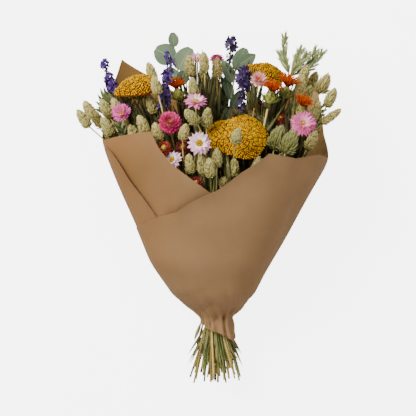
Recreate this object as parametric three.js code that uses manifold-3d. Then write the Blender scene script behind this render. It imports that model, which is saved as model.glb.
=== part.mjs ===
// A mixed bouquet of dried flowers in a wrap of brown kraft paper, lying on its back.
// Millimetres, +Z up. The stems point along -Y and the flowers along +Y, and the bouquet's
// front faces up. The origin is under the middle of the bouquet, on the surface it lies on.
import * as THREE from "three";
import { mergeVertices } from "three/addons/utils/BufferGeometryUtils.js";
import Module from "manifold-3d";

const wasm = await Module();
wasm.setup();

// ---------------------------------------------------------------- driving dimensions
const TIE = new THREE.Vector3(13, -167, 44.5); // middle of the bundle at its binding
const BUNDLE_RADIUS = 16.4; // the stems keep inside this circle at the binding
const CLEARANCE = 1.2; // between two plants, which the settled bunch may use up in places
const TIE_CLEARANCE = 0.25; // between two stems at the binding, where they are pressed together
const TIE_PULL = 0.985; // how hard the binding draws the stems in, at each round of settling
const SEAT_GAP = 0.3; // between a stem and the head that it carries
const BINDING_RADIUS = 20.3; // outside of the tie round the bundle
const BINDING_ROOM = 1.5; // the stems spread by this much within the tie's width
const CUT_END_Y = [-226, -266]; // the shortest and the longest stem end
const STEM_TWIST = 0.62; // how far the bundle turns from the binding to y = -260, radians
const STEM_SPREAD = { x: 3.05, z: 1.7, drop: -5 }; // its growth and fall over the same length
const TWIST_LENGTH = 93;
const PAPER = 0.8; // thickness of the wrap
const LAP = 0.95; // each of two overlapping layers stands off by this much
const SQUARENESS = 2.4; // exponent of the wrap's superelliptic section
const SLACK = 6; // between the wrap's middle surface and what it holds
const RIM_LEAD = 24; // a stem keeps inside the wrap until it is this far above the rim
const STEM_LEVELS = [-132, -60, 20, 66, 98, 132, 166, 200];
const SETTLE_ROUNDS = 420;
const HOME_XY = 5; // a head may move this far sideways while the bunch settles
const FLOOR_ROOM = 1.5; // a stem or head stays this far above the surface
const STRAIGHT = 0.64; // a stem needs no bend where it is this near a straight line
const GOLDEN = 0.618034;
const GOLDEN_ANGLE = 2.39996;

// ---------------------------------------------------------------- small helpers
const vec = (x, y, z) => new THREE.Vector3(x, y, z);
const UP = vec(0, 0, 1);
const ALONG_X = vec(1, 0, 0);
const ALONG_Y = vec(0, 1, 0);
const clamp = THREE.MathUtils.clamp;
const lerp = THREE.MathUtils.lerp;

// The value at x of the straight lines through a row of [x, value] points.
function through(points, x) {
  let k = 0;
  while (k < points.length - 2 && x > points[k + 1][0]) k += 1;
  const [x0, v0] = points[k];
  const [x1, v1] = points[k + 1];
  return lerp(v0, v1, clamp((x - x0) / (x1 - x0), 0, 1));
}

// A draw between 0 and 1 that is the same for the same number.
function draw(n) {
  return (n * GOLDEN + 0.37) % 1;
}

function geometryOf(points, faces) {
  const geometry = new THREE.BufferGeometry().setFromPoints(points);
  geometry.setIndex(faces.flat());
  return geometry;
}

function solidOf(geometry) {
  const bare = geometry.clone();
  bare.deleteAttribute("normal");
  bare.deleteAttribute("uv");
  const merged = mergeVertices(bare, 1e-4);
  return new wasm.Manifold(
    new wasm.Mesh({
      numProp: 3,
      vertProperties: merged.attributes.position.array,
      triVerts: Uint32Array.from(merged.index.array),
    }),
  );
}

function union(solids) {
  return solids.reduce((sum, solid) => sum.add(solid));
}

// A closed skin over a row of rings. Each ring turns anticlockwise seen from the next one,
// and a ring of one point is a tip. A ring of many points at an end is closed flat.
function skin(rings) {
  const points = rings.flat();
  const starts = [];
  rings.reduce((sum, ring, k) => ((starts[k] = sum), sum + ring.length), 0);
  const sides = Math.max(...rings.map((ring) => ring.length));
  const at = (k, j) => starts[k] + (rings[k].length === 1 ? 0 : j % sides);
  const faces = [];
  for (let k = 0; k < rings.length - 1; k += 1) {
    for (let j = 0; j < sides; j += 1) {
      if (rings[k].length > 1) faces.push([at(k, j), at(k, j + 1), at(k + 1, j)]);
      if (rings[k + 1].length > 1) faces.push([at(k, j + 1), at(k + 1, j + 1), at(k + 1, j)]);
    }
  }
  const last = rings.length - 1;
  for (let j = 1; j < sides - 1; j += 1) {
    if (rings[0].length > 1) faces.push([at(0, 0), at(0, j + 1), at(0, j)]);
    if (rings[last].length > 1) faces.push([at(last, 0), at(last, j), at(last, j + 1)]);
  }
  return solidOf(geometryOf(points, faces));
}

// A ring of points round a centre, square to an axis and starting from the +X side.
function ringRound(centre, axis, radius, sides, turn = 0) {
  if (radius === 0) return [centre.clone()];
  const out = ALONG_X.clone().addScaledVector(axis, -ALONG_X.dot(axis)).normalize();
  const across = axis.clone().cross(out);
  return Array.from({ length: sides }, (_, j) => {
    const angle = ((j + turn) / sides) * 2 * Math.PI;
    const arm = out.clone().multiplyScalar(radius * Math.cos(angle));
    return centre.clone().add(arm).addScaledVector(across, radius * Math.sin(angle));
  });
}

// The turn that stands a shape made along +Z along a direction.
function standing(direction, centre = vec(0, 0, 0), spin = 0) {
  const turn = new THREE.Quaternion().setFromUnitVectors(UP, direction.clone().normalize());
  const own = new THREE.Quaternion().setFromAxisAngle(UP, spin);
  return new THREE.Matrix4().compose(centre, turn.multiply(own), vec(1, 1, 1));
}

// A round solid along +Z from rows of [height, radius]. Each row is turned by half a step
// against the one before, so wide and narrow rows in turn make staggered scales.
function scaly(rows, sides, placing) {
  const rings = rows.map(([height, radius], k) =>
    ringRound(vec(0, 0, height), UP, radius, sides, k / 2).map((p) => p.applyMatrix4(placing)),
  );
  return skin(rings);
}

// ---------------------------------------------------------------- the paper wrap
// The wrap's section at each y: its middle and its half width, half depth and lowest line.
const WRAP_MIDDLE_X = [
  [-204, 12.5], [-166, 12.8], [-149, 11.1], [-131, 7.7], [-83, 3.8], [-23, 8.3], [73, 15.2], [100, 7.7],
];
const WRAP_HALF_WIDTH = [
  [-204, 28.5], [-190, 26.2], [-175, 23.2], [-166, 22.5], [-149, 41], [-131, 62], [-83, 92], [-23, 120],
  [73, 166], [100, 169], [226, 172],
];
const WRAP_HALF_DEPTH = [
  [-204, 24], [-175, 22.4], [-166, 22], [-149, 37], [-131, 52], [-83, 72], [-23, 85], [73, 100],
];
const WRAP_LOWEST = [
  [-204, 20.5], [-166, 22.5], [-149, 15], [-131, 8], [-83, 1], [-49, -4],
];
// Its upper and lower edges: y at each angle, from the front (0) over the right (90).
const WRAP_TOP = [
  [-100, -36], [-90, -32], [-58, -23], [-21, -7], [-1, 22], [9, 51], [23, 80], [41, 73], [62, 79],
  [90, 72], [104, 111], [111, 151], [121, 202], [150, 165], [180, 150], [213, 203], [231, 225],
  [235, 205], [250, 145], [270, 98], [299, 104], [331, 113], [334, 88], [339, 64], [344, 53],
  [358, 22], [380, -11],
];
const WRAP_BOTTOM = [
  [-100, -180], [-60, -179], [0, -189], [60, -204], [90, -195], [180, -184], [270, -180], [380, -178],
];
// How far a layer stands outside (+) or inside (-) the middle surface.
const WRAP_LAYER = [[-100, LAP], [20, LAP], [75, 0], [215, 0], [275, -LAP], [380, -LAP]];
const WRAP_LOW_LEVELS = [-175, -165.5, -150, -131, -90];
const WRAP_HIGH_SHARES = [0.35, 0.7, 1];
const WRAP_EXTRA_ANGLES = [-75, -40, 76, 136, 165, 196, 260, 284, 315];

function wrapSection(y) {
  const b = through(WRAP_HALF_DEPTH, y);
  return {
    x: through(WRAP_MIDDLE_X, y),
    z: through(WRAP_LOWEST, y) + b,
    a: through(WRAP_HALF_WIDTH, y),
    b,
  };
}

// A point of the wrap's middle surface, pressed flat where it meets the surface under it.
function wrapPoint(degrees, y) {
  const section = wrapSection(y);
  const angle = THREE.MathUtils.degToRad(degrees);
  const bend = (v) => Math.sign(v) * Math.abs(v) ** (2 / SQUARENESS);
  const layer = through(WRAP_LAYER, degrees);
  const x = section.x + (section.a + layer) * bend(Math.sin(angle));
  const z = section.z + (section.b + layer) * bend(Math.cos(angle));
  return vec(x, y, Math.max(z, PAPER / 2));
}

function wrapLevels(degrees) {
  const top = through(WRAP_TOP, degrees);
  const shoulder = WRAP_LOW_LEVELS[WRAP_LOW_LEVELS.length - 1];
  const upper = WRAP_HIGH_SHARES.map((share) => lerp(shoulder, top, share));
  return [through(WRAP_BOTTOM, degrees), ...WRAP_LOW_LEVELS, ...upper];
}

// The sheet: a grid of its middle surface, moved out and in by half the thickness.
function paperWrap() {
  const angles = [...WRAP_TOP.map(([angle]) => angle), ...WRAP_EXTRA_ANGLES].sort((p, q) => p - q);
  const step = 0.5;
  const grid = angles.map((degrees) =>
    wrapLevels(degrees).map((y) => {
      const along = wrapPoint(degrees, y + step).sub(wrapPoint(degrees, y - step));
      const round = wrapPoint(degrees + step, y).sub(wrapPoint(degrees - step, y));
      const out = along.cross(round).normalize().multiplyScalar(-PAPER / 2);
      const middle = wrapPoint(degrees, y);
      return [middle.clone().add(out), middle.clone().sub(out)];
    }),
  );
  const rows = grid[0].length;
  const points = grid.flat(2);
  const at = (i, k, side) => (i * rows + k) * 2 + side;
  const faces = [];
  const quad = (a, b, c, d) => faces.push([a, b, c], [a, c, d]);
  for (let i = 0; i < grid.length - 1; i += 1) {
    for (let k = 0; k < rows - 1; k += 1) {
      quad(at(i, k, 0), at(i, k + 1, 0), at(i + 1, k + 1, 0), at(i + 1, k, 0));
      quad(at(i, k, 1), at(i + 1, k, 1), at(i + 1, k + 1, 1), at(i, k + 1, 1));
    }
    quad(at(i, 0, 0), at(i + 1, 0, 0), at(i + 1, 0, 1), at(i, 0, 1));
    quad(at(i, rows - 1, 1), at(i + 1, rows - 1, 1), at(i + 1, rows - 1, 0), at(i, rows - 1, 0));
  }
  const last = grid.length - 1;
  for (let k = 0; k < rows - 1; k += 1) {
    quad(at(0, k, 1), at(0, k + 1, 1), at(0, k + 1, 0), at(0, k, 0));
    quad(at(last, k, 0), at(last, k + 1, 0), at(last, k + 1, 1), at(last, k, 1));
  }
  const solid = solidOf(geometryOf(points, faces));
  return solid.volume() < 0 ? solidOf(geometryOf(points, faces.map(([a, b, c]) => [a, c, b]))) : solid;
}

// Moves a point that is too near the wrap, or past it, back inside: the move that it needs.
function insideWrap(point, margin, lead = 0) {
  const section = wrapSection(point.y);
  const a = section.a - margin - SLACK;
  const b = section.b - margin - SLACK;
  const dx = point.x - section.x;
  const dz = point.z - section.z;
  const reach = Math.abs(dx / a) ** SQUARENESS + Math.abs(dz / b) ** SQUARENESS;
  const floor = Math.max(0, margin + FLOOR_ROOM - point.z);
  if (reach <= 1) return vec(0, 0, floor);
  const share = reach ** (-1 / SQUARENESS) - 1;
  const ex = Math.sign(dx) * Math.abs(dx / a) ** (SQUARENESS / 2);
  const ez = Math.sign(dz) * Math.abs(dz / b) ** (SQUARENESS / 2);
  const degrees = (THREE.MathUtils.radToDeg(Math.atan2(ex, ez)) + 360) % 360;
  const wide = THREE.MathUtils.radToDeg(margin / Math.hypot(dx, dz)) + 2;
  const edges = [-wide, 0, wide].flatMap((turn) => [degrees + turn, degrees + turn - 360]);
  const edge = Math.max(...edges.map((angle) => through(WRAP_TOP, angle)));
  if (point.y > edge + margin + lead) return vec(0, 0, floor);
  return vec(dx * share, 0, floor > 0 ? Math.max(dz * share, floor) : dz * share);
}

// ---------------------------------------------------------------- the plants
// Every plant has a head at a place in the bunch, facing a direction, and one stem. Balls
// round the head, [x, y, z, radius], keep the others off it: in its own frame, with z along
// its face, or as spots of the bouquet's frame.
const plants = [];

function addPlant(kind, unit, place, options) {
  const at = vec(...place);
  const outward = at.clone().sub(TIE).normalize();
  const face = options.face ? vec(...options.face).normalize() : outward;
  if (options.lean) face.add(vec(...options.lean)).normalize();
  const bends = Boolean(options.face || options.lean?.some(Boolean));
  const plant = { kind, unit, at, home: at.clone(), neck: 16, stem: 1.4, bends, ...options, face };
  plant.turn = new THREE.Quaternion().setFromUnitVectors(UP, face);
  // The neck comes up along the plant's line and bends into the head's direction.
  const behind = face.clone().multiplyScalar(-plant.foot);
  const bent = face.clone().add(outward).normalize();
  plant.base = behind;
  plant.approach = behind.clone().addScaledVector(bent, -plant.neck);
  const { balls = [], spots = [] } = options;
  const own = balls.map(([x, y, z, r]) => ({ offset: vec(x, y, z).applyQuaternion(plant.turn), r }));
  const placed = spots.map(([x, y, z, r]) => ({ offset: vec(x, y, z).sub(at), r }));
  const neck = [plant.base, plant.approach.clone().lerp(plant.base, 0.5), plant.approach];
  plant.balls = [...own, ...placed, ...neck.map((offset) => ({ offset, r: plant.stem }))];
  plants.push(plant);
}

// Canary grass in bunches: [x, y, z, length, width, lean to the side, lean up].
const CANARY = { length: 32, width: 19.5 };
const CANARY_BUNCHES = [
  [[-187, 133, 120], [-178, 145, 134], [-167, 133, 106], [-154, 148, 96], [-137, 149, 122]],
  [[-152, 121, 134], [-139, 113, 152], [-116, 113, 160], [-103, 118, 165], [-88, 157, 120]],
  [[-77, 181, 165, 29, 17], [-86, 202, 90], [-28, 211, 120], [-7, 217, 135, 31, 18], [-8, 191, 100]],
  [[13, 208, 120], [-23, 179, 150, 30, 18], [2, 131, 180, 36, 19, 0.1, 0.2], [-25, 134, 190, 31, 21, -0.7, 0.2],
    [-35, 109, 195, 30, 18, 0.35, 0.3]],
  [[-74, 107, 190, 31, 19], [-14, 61, 195], [1, 62, 192], [-28, 62, 172], [13, 74, 188]],
  [[35, 62, 184], [25, 43, 178, 24, 18, 0, 1.2], [70, 67, 180], [41, 105, 216, 26, 19]],
  [[104, 101, 172, 34, 22], [119, 97, 184, 34, 22], [154, 100, 135], [162, 143, 120],
    [181, 137, 122, 38, 15, 0.7, 0]],
  [[136, 179, 128], [145, 199, 96], [157, 190, 76], [172, 184, 110, 30, 18], [181, 164, 124], [148, 168, 108]],
];

CANARY_BUNCHES.forEach((bunch, k) => {
  bunch.forEach(([x, y, z, length = CANARY.length, width = CANARY.width, side = 0, lift = 0]) => {
    const r = width / 2;
    const tail = length / 2 - r * 0.8;
    addPlant("canary_grass", "canary_grass_" + (k + 1), [x, y, z], {
      balls: [[0, 0, 0, r], [0, 0, tail, r * 0.75], [0, 0, -tail, r * 0.88]],
      lean: side || lift ? [side, 0, lift] : null,
      length,
      width,
      foot: length / 2,
      stem: 1.3,
      through: x === 41 ? "yarrow_1" : null,
    });
  });
});

// Balls that fill the rim of a flat round head.
function rimBalls(rx, ry, r, lift, count) {
  return Array.from({ length: count }, (_, k) => {
    const angle = (k * 2 * Math.PI) / count;
    return [(rx - r) * Math.cos(angle), (ry - r) * Math.sin(angle), lift, r];
  });
}

const YARROWS = [
  { place: [50, 103, 190], face: [0.05, 0.6, 0.8], rx: 47, ry: 39, rise: 15, rings: 8 },
  { place: [-103, 180, 122], face: [-0.2, 0.93, 0.3], rx: 34, ry: 30, rise: 13, rings: 7 },
  { place: [85, 201, 112], face: [0.25, 0.8, 0.53], rx: 29, ry: 25, rise: 11, rings: 6 },
];
YARROWS.forEach(({ place, face, rx, ry, rise, rings }, k) => {
  addPlant("yarrow", "yarrow_" + (k + 1), place, {
    balls: [
      ...rimBalls(rx, ry, rx * 0.23, -4, 12),
      ...rimBalls(rx * 0.72, ry * 0.72, rx * 0.32, -3, 6),
      [0, 0, -rx * 0.34, rx * 0.3],
    ],
    face, rx, ry, rise, rings, foot: rx * 0.5, stem: 2.1, neck: 20,
  });
});

const ACROCLINIUMS = [
  { place: [-127, 139, 165], face: [-0.35, 0.3, 0.85], radius: 16, unit: 1 },
  { place: [-19, 155, 170], face: [0, 0.85, 0.5], radius: 18, unit: 2 },
  { place: [-15, 95, 200], face: [0.05, 0.2, 0.98], radius: 19, unit: 2 },
  { place: [-54, 75, 186], face: [-0.45, 0.35, 0.8], radius: 15.5, unit: 1 },
  { place: [139, 122, 182], face: [0.15, 0.4, 0.9], radius: 21, unit: 3 },
  { place: [75, 187, 152], face: [0.1, 0.6, 0.7], radius: 14, unit: 3 },
  { place: [-17, 222, 96], face: [0, 0.8, 0.6], radius: 12, unit: 2 },
];
ACROCLINIUMS.forEach(({ place, face, radius, unit }, k) => {
  addPlant("acroclinium", "acroclinium_stems_" + unit, place, {
    balls: [[0, 0, 3, radius * 0.45], ...rimBalls(radius, radius, radius * 0.28, 2, 8)],
    face, radius, foot: 1.6, head: "acroclinium_" + (k + 1), stem: 1.5,
  });
});

const STRAWFLOWERS = [
  { place: [-62, 122, 180], face: [0.1, 0.3, 0.95], radius: 19, deep: 11, unit: 1 },
  { place: [-63, 90, 170], face: [-0.1, 0.4, 0.9], radius: 13, deep: 13, unit: 1 },
  { place: [-38, 91, 158], face: [0.1, 0.4, 0.9], radius: 12, deep: 11, unit: 1 },
  { place: [-21, 42, 163], face: [0, 0.5, 0.85], radius: 12, deep: 11, unit: 1 },
  { place: [70, 151, 128], face: [0, 0.6, 0.8], radius: 12, deep: 11, unit: 2 },
  { place: [104, 133, 136], face: [0.1, 0.5, 0.85], radius: 11, deep: 10, unit: 2 },
  { place: [18, 222, 92], face: [0, 0.9, 0.45], radius: 13, deep: 9, unit: 2 },
];
STRAWFLOWERS.forEach(({ place, face, radius, deep, unit }, k) => {
  addPlant("strawflower", "strawflower_stems_" + unit, place, {
    balls: [[0, 0, 0, radius * 0.75], ...rimBalls(radius, radius, radius * 0.32, 1, 8)],
    face, radius, deep, foot: deep * 0.5, head: "strawflower_" + (k + 1), stem: 1.7,
  });
});

const SAFFLOWERS = [[-46, 169, 132], [92, 164, 157], [115, 172, 136], [136, 143, 150]];
const BULB = { length: 20, width: 15 };
SAFFLOWERS.forEach((place, k) => {
  addPlant("safflower", "safflower_" + (k + 1), place, {
    balls: [[0, 0, 0, 8], [0, 0, 13, 8], [0, 0, 21, 8]], foot: BULB.length / 2, stem: 1.8,
  });
});

// Larkspur: the spike's line from its foot to its tip, and a floret's radius.
const LARKSPURS = [
  { line: [[-141, 172, 102], [-150, 195, 103], [-157, 219, 106]], floret: 7, count: 10 },
  {
    line: [[-68, 146, 150], [-66, 172, 151], [-62, 197, 152], [-56, 212, 153], [-64, 230, 154]],
    floret: 7,
    count: 12,
  },
  { line: [[26, 218, 92], [28, 236, 94], [30, 256, 97]], floret: 5.8, count: 6 },
  { line: [[48, 144, 122], [51, 168, 130], [54, 190, 138], [53, 210, 142]], floret: 8.2, count: 11 },
];
LARKSPURS.forEach(({ line, floret, count }, k) => {
  const points = line.map((p) => vec(...p));
  const spots = points.slice(1).flatMap((point, i) =>
    [0.25, 0.75].map((share) => [...points[i].clone().lerp(point, share), floret + 1]),
  );
  addPlant("larkspur", "larkspur_" + (k + 1), line[0], {
    spots,
    face: points[1].clone().sub(points[0]).toArray(),
    line: points.map((p) => p.clone().sub(points[0])),
    floret,
    count,
    foot: 0.5,
    stem: 1.6,
  });
});

// Eucalyptus: [x, y, z, heading in degrees, length, width, tilt] of each leaf.
const EUCALYPTUS = [
  {
    line: [[-38, 150, 78], [-42, 180, 80], [-46, 205, 80], [-50, 224, 80], [-52, 244, 78]],
    leaves: [
      [-48, 222, 82, 148, 36, 34, 0.15], [-52, 240, 79, 95, 24, 17, 0.3], [-46, 205, 82, 62, 40, 30, -0.1],
      [-42, 182, 82, 75, 26, 20, 0.25], [-44, 196, 78, 160, 26, 22, 0.2],
    ],
  },
  {
    line: [[30, 120, 100], [34, 160, 102], [38, 190, 104], [42, 212, 104]],
    leaves: [
      [38, 206, 106, 66, 38, 25, 0.1], [42, 212, 104, 30, 34, 19, 0.25], [36, 186, 104, 112, 40, 17, 0.5],
      [34, 160, 102, 100, 40, 15, 0.6], [33, 146, 101, 60, 34, 15, 0.5], [31, 130, 101, 118, 30, 15, 0.5],
    ],
  },
];
EUCALYPTUS.forEach(({ line, leaves }, k) => {
  const spine = line.map((p) => vec(...p).sub(vec(...line[0])));
  const blades = leaves.map(([x, y, z, heading, length]) => {
    const angle = THREE.MathUtils.degToRad(heading);
    return [x + Math.cos(angle) * length * 0.5, y + Math.sin(angle) * length * 0.5, z, 7];
  });
  addPlant("eucalyptus", "eucalyptus_" + (k + 1), line[0], {
    spots: [...line.slice(1).map((point) => [...point, 2.5]), ...blades],
    face: spine[1].toArray(),
    line: spine,
    leaves,
    foot: 0,
    stem: 1.7,
  });
});

// Leafy stems: the tips of the stems, left and right.
const LEAFY = [
  { tips: [[-148, 158, 84], [-122, 166, 98], [-135, 128, 128]] },
  { tips: [[160, 118, 106], [172, 152, 98]] },
];
LEAFY.forEach(({ tips }, k) => {
  tips.forEach((place) => {
    addPlant("leafy", "leafy_stems_" + (k + 1), place, {
      balls: [[0, 0, -6, 5], [0, 0, -22, 6], [0, 0, -38, 6]], foot: 44, stem: 1.4, neck: 14,
    });
  });
});

// The oats: one stem that ends in a loose panicle of hanging spikelets.
const OATS = {
  foot: [120, 196, 92],
  rays: [
    [[113, 222, 94], [112, 249, 96]], [[130, 220, 88], [138, 236, 90]], [[134, 212, 98], [145, 226, 102]],
    [[146, 214, 86], [163, 232, 88]], [[150, 206, 92], [173, 228, 94]],
  ],
  spikelets: 3,
};
addPlant("oats", "oats", OATS.foot, {
  spots: OATS.rays.flat().map((point) => [...point, 4]), foot: 0, stem: 1.6,
});

// ---------------------------------------------------------------- settling the bunch
// The stems of one unit share a place at the binding: a middle stem with the others round it.
function unitsOf(all) {
  const units = new Map();
  all.forEach((plant) => {
    if (!units.has(plant.unit)) units.set(plant.unit, { name: plant.unit, members: [] });
    units.get(plant.unit).members.push(plant);
  });
  return [...units.values()];
}

// Where a plant's straight line from the binding heads: its sideways gain for each mm of y.
function heading(plant) {
  const run = plant.at.y - TIE.y;
  return new THREE.Vector2((plant.at.x - TIE.x) / run, (plant.at.z - TIE.z) / run);
}

function placeAtBinding(units) {
  const all = units.flatMap((unit) => unit.members);
  const middle = new THREE.Vector2();
  all.forEach((plant) => middle.addScaledVector(heading(plant), 1 / all.length));
  const widest = Math.max(...all.map((plant) => heading(plant).sub(middle).length()));
  units.forEach((unit) => {
    const mean = new THREE.Vector2();
    unit.members.forEach((plant) => mean.addScaledVector(heading(plant), 1 / unit.members.length));
    const place = mean.clone().sub(middle).multiplyScalar((BUNDLE_RADIUS * 1.1) / widest);
    unit.centre = vec(place.x, 0, place.y);
    const away = (plant) => heading(plant).sub(mean);
    const ordered = [...unit.members].sort((p, q) => away(p).length() - away(q).length());
    const [first, ...round] = ordered;
    round.sort((p, q) => away(p).angle() - away(q).angle());
    first.inUnit = vec(0, 0, 0);
    const start = round.length ? away(round[0]).angle() : 0;
    round.forEach((plant, k) => {
      const angle = start + (k * 2 * Math.PI) / Math.max(round.length, 3);
      const pitch = 0.5 * (plant.stem + first.stem);
      plant.inUnit = vec(pitch * Math.cos(angle), 0, pitch * Math.sin(angle));
    });
    unit.radius = Math.max(...unit.members.map((plant) => plant.inUnit.length() + plant.stem));
  });
}

// Each stem starts as a straight line from the binding to its head's neck.
function startStems(all) {
  all.forEach((plant) => {
    const end = plant.at.clone().add(plant.approach);
    plant.levels = STEM_LEVELS.filter((y) => y < end.y - 6).map((y) => {
      const share = (y - TIE.y) / (end.y - TIE.y);
      return vec(lerp(TIE.x, end.x, share), y, lerp(TIE.z, end.z, share));
    });
  });
}

const push = (moves, key, move) => {
  if (!moves.has(key)) moves.set(key, { sum: vec(0, 0, 0), count: 0 });
  const entry = moves.get(key);
  entry.sum.add(move);
  entry.count += 1;
};

// Two stems of different units keep apart between each two levels that both of them reach.
function partStems(p, q, moves) {
  const shared = Math.min(p.levels.length, q.levels.length);
  for (let k = 0; k < shared; k += 1) {
    const [p0, p1] = [k ? p.levels[k - 1] : p.tied, p.levels[k]];
    const [q0, q1] = [k ? q.levels[k - 1] : q.tied, q.levels[k]];
    const from = p0.clone().sub(q0).setY(0);
    const gain = p1.clone().sub(q1).setY(0).sub(from);
    const t = clamp(-from.dot(gain) / Math.max(gain.lengthSq(), 1e-9), 0, 1);
    const need = p.stem + q.stem + (k ? CLEARANCE : lerp(TIE_CLEARANCE, CLEARANCE, t));
    const near = from.clone().addScaledVector(gain, t);
    const distance = Math.max(near.length(), 1e-3);
    if (distance >= need) continue;
    const half = near.multiplyScalar((need - distance) / 2 / distance);
    const weight = (1 - t) ** 2 + t ** 2;
    push(moves, p0, half.clone().multiplyScalar((1 - t) / weight));
    push(moves, p1, half.clone().multiplyScalar(t / weight));
    push(moves, q0, half.clone().multiplyScalar(-(1 - t) / weight));
    push(moves, q1, half.clone().multiplyScalar(-t / weight));
  }
}

// A stem keeps clear of another plant's head.
function partStemAndHead(stem, head, moves) {
  const chain = [stem.tied, ...stem.levels, stem.at.clone().add(stem.approach)];
  for (const ball of head.balls) {
    const centre = head.at.clone().add(ball.offset);
    const need = ball.r + stem.stem + CLEARANCE;
    for (let k = 0; k < chain.length - 1; k += 1) {
      const [start, end] = [chain[k], chain[k + 1]];
      if (end.y < centre.y - need || start.y > centre.y + need) continue;
      const run = end.clone().sub(start);
      const t = clamp(centre.clone().sub(start).dot(run) / run.lengthSq(), 0, 1);
      const away = start.clone().addScaledVector(run, t).sub(centre);
      const distance = away.length();
      if (distance >= need) continue;
      away.setY(0);
      const flat = Math.max(away.length(), 0.5);
      const move = away.multiplyScalar((need - distance) / flat);
      const weight = (1 - t) ** 2 + t ** 2;
      if (k > 0) push(moves, start, move.clone().multiplyScalar((0.7 * (1 - t)) / weight));
      if (k + 1 < chain.length - 1) push(moves, end, move.clone().multiplyScalar((0.7 * t) / weight));
      push(moves, head.at, move.clone().multiplyScalar(-0.3));
    }
  }
}

// Two heads keep apart, more in depth than sideways.
function partHeads(p, q, moves) {
  if (p.at.distanceTo(q.at) > 150) return;
  for (const mine of p.balls) {
    const centre = p.at.clone().add(mine.offset);
    for (const other of q.balls) {
      const away = centre.clone().sub(q.at).sub(other.offset);
      const need = mine.r + other.r + CLEARANCE;
      const distance = Math.max(away.length(), 1e-3);
      if (distance >= need) continue;
      const half = away.multiplyScalar((need - distance) / 2 / distance);
      push(moves, p.at, half);
      push(moves, q.at, half.clone().negate());
    }
  }
}

function keepInside(plant) {
  plant.levels.forEach((point) => point.add(insideWrap(point, plant.stem, RIM_LEAD)));
  plant.balls.forEach((ball) => {
    plant.at.add(insideWrap(plant.at.clone().add(ball.offset), ball.r));
  });
}

// A stem is springy: each of its points leans towards the line between its neighbours.
function straighten(plant) {
  const chain = [plant.tied, ...plant.levels, plant.at.clone().add(plant.approach)];
  for (let k = 1; k < chain.length - 1; k += 1) {
    const share = (chain[k].y - chain[k - 1].y) / (chain[k + 1].y - chain[k - 1].y);
    const line = chain[k - 1].clone().lerp(chain[k + 1], share);
    chain[k].x += (line.x - chain[k].x) * 0.25;
    chain[k].z += (line.z - chain[k].z) * 0.25;
  }
}

function settle(all, units) {
  placeAtBinding(units);
  all.forEach((plant) => {
    plant.tied = vec(0, TIE.y, 0);
  });
  startStems(all);
  for (let round = 0; round < SETTLE_ROUNDS; round += 1) {
    units.forEach((unit) => {
      unit.centre.clampLength(0, BUNDLE_RADIUS - unit.radius);
      if (round < SETTLE_ROUNDS * 0.9) unit.centre.multiplyScalar(TIE_PULL);
      unit.members.forEach((plant) => {
        plant.tied.copy(TIE).add(unit.centre).add(plant.inUnit);
      });
    });
    if (round < SETTLE_ROUNDS * 0.85) all.forEach(straighten);
    const moves = new Map();
    all.forEach((p, i) => {
      all.slice(i + 1).forEach((q) => {
        partHeads(p, q, moves);
        if (p.unit !== q.unit) partStems(p, q, moves);
        if (p.unit !== q.unit && p.through !== q.unit) partStemAndHead(p, q, moves);
        if (p.unit !== q.unit && q.through !== p.unit) partStemAndHead(q, p, moves);
      });
    });
    units.forEach((unit) => {
      const shift = vec(0, 0, 0);
      let count = 0;
      unit.members.forEach((plant) => {
        const move = moves.get(plant.tied);
        if (!move) return;
        shift.add(move.sum);
        count += move.count;
      });
      if (count) unit.centre.addScaledVector(shift, 1 / Math.max(count * 0.6, 1));
    });
    all.forEach((plant) => {
      plant.levels.forEach((point) => {
        const move = moves.get(point);
        if (!move) return;
        point.x += move.sum.x / Math.max(move.count * 0.7, 1);
        point.z += move.sum.z / Math.max(move.count * 0.7, 1);
      });
      const move = moves.get(plant.at);
      if (!move) return;
      plant.at.addScaledVector(move.sum, 1 / Math.max(move.count * 0.7, 1));
      plant.at.x = clamp(plant.at.x, plant.home.x - HOME_XY, plant.home.x + HOME_XY);
      plant.at.y = clamp(plant.at.y, plant.home.y - HOME_XY, plant.home.y + HOME_XY);
    });
    all.forEach(keepInside);
  }
}

const units = unitsOf(plants);
settle(plants, units);

// ---------------------------------------------------------------- stems
// Below the binding the bundle twists, spreads and sinks along straight stems.
function cutEnd(plant, number) {
  const y = lerp(CUT_END_Y[0], CUT_END_Y[1], draw(number));
  const share = (TIE.y - y) / TWIST_LENGTH;
  const from = plant.tied.clone().sub(TIE);
  const turned = from.clone().applyAxisAngle(ALONG_Y, STEM_TWIST);
  return vec(
    TIE.x + lerp(from.x, turned.x * STEM_SPREAD.x, share),
    y,
    TIE.z + lerp(from.z, turned.z * STEM_SPREAD.z, share) + STEM_SPREAD.drop * share,
  );
}

// The points of a path that it needs, without those on a nearly straight run.
function bentOnly(path) {
  const kept = [path[0], path[1]];
  path.slice(2).forEach((point, k) => {
    const before = kept.at(-1);
    const from = kept.at(-2);
    const run = point.clone().sub(from);
    const share = before.clone().sub(from).dot(run) / run.lengthSq();
    const off = from.clone().addScaledVector(run, share).distanceTo(before);
    if (k > 0 && off < STRAIGHT) kept.pop();
    kept.push(point);
  });
  return kept;
}

// A stem from its cut end to its head, a little thinner at the top.
function stemOf(plant, number, sunk) {
  const end = plant.at.clone().add(plant.base).addScaledVector(plant.face, sunk);
  const approach = plant.at.clone().add(plant.approach);
  const path = bentOnly([cutEnd(plant, number), plant.tied, ...plant.levels]);
  const sides = 3;
  const rings = path.map((point) => ringRound(point, ALONG_Y, plant.stem, sides));
  const lean = end.clone().sub(approach).normalize().add(ALONG_Y).normalize();
  if (plant.bends) rings.push(ringRound(approach, lean, plant.stem * 0.85, sides));
  rings.push(ringRound(end, plant.face, plant.stem * 0.75, sides));
  return skin(rings);
}

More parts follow.
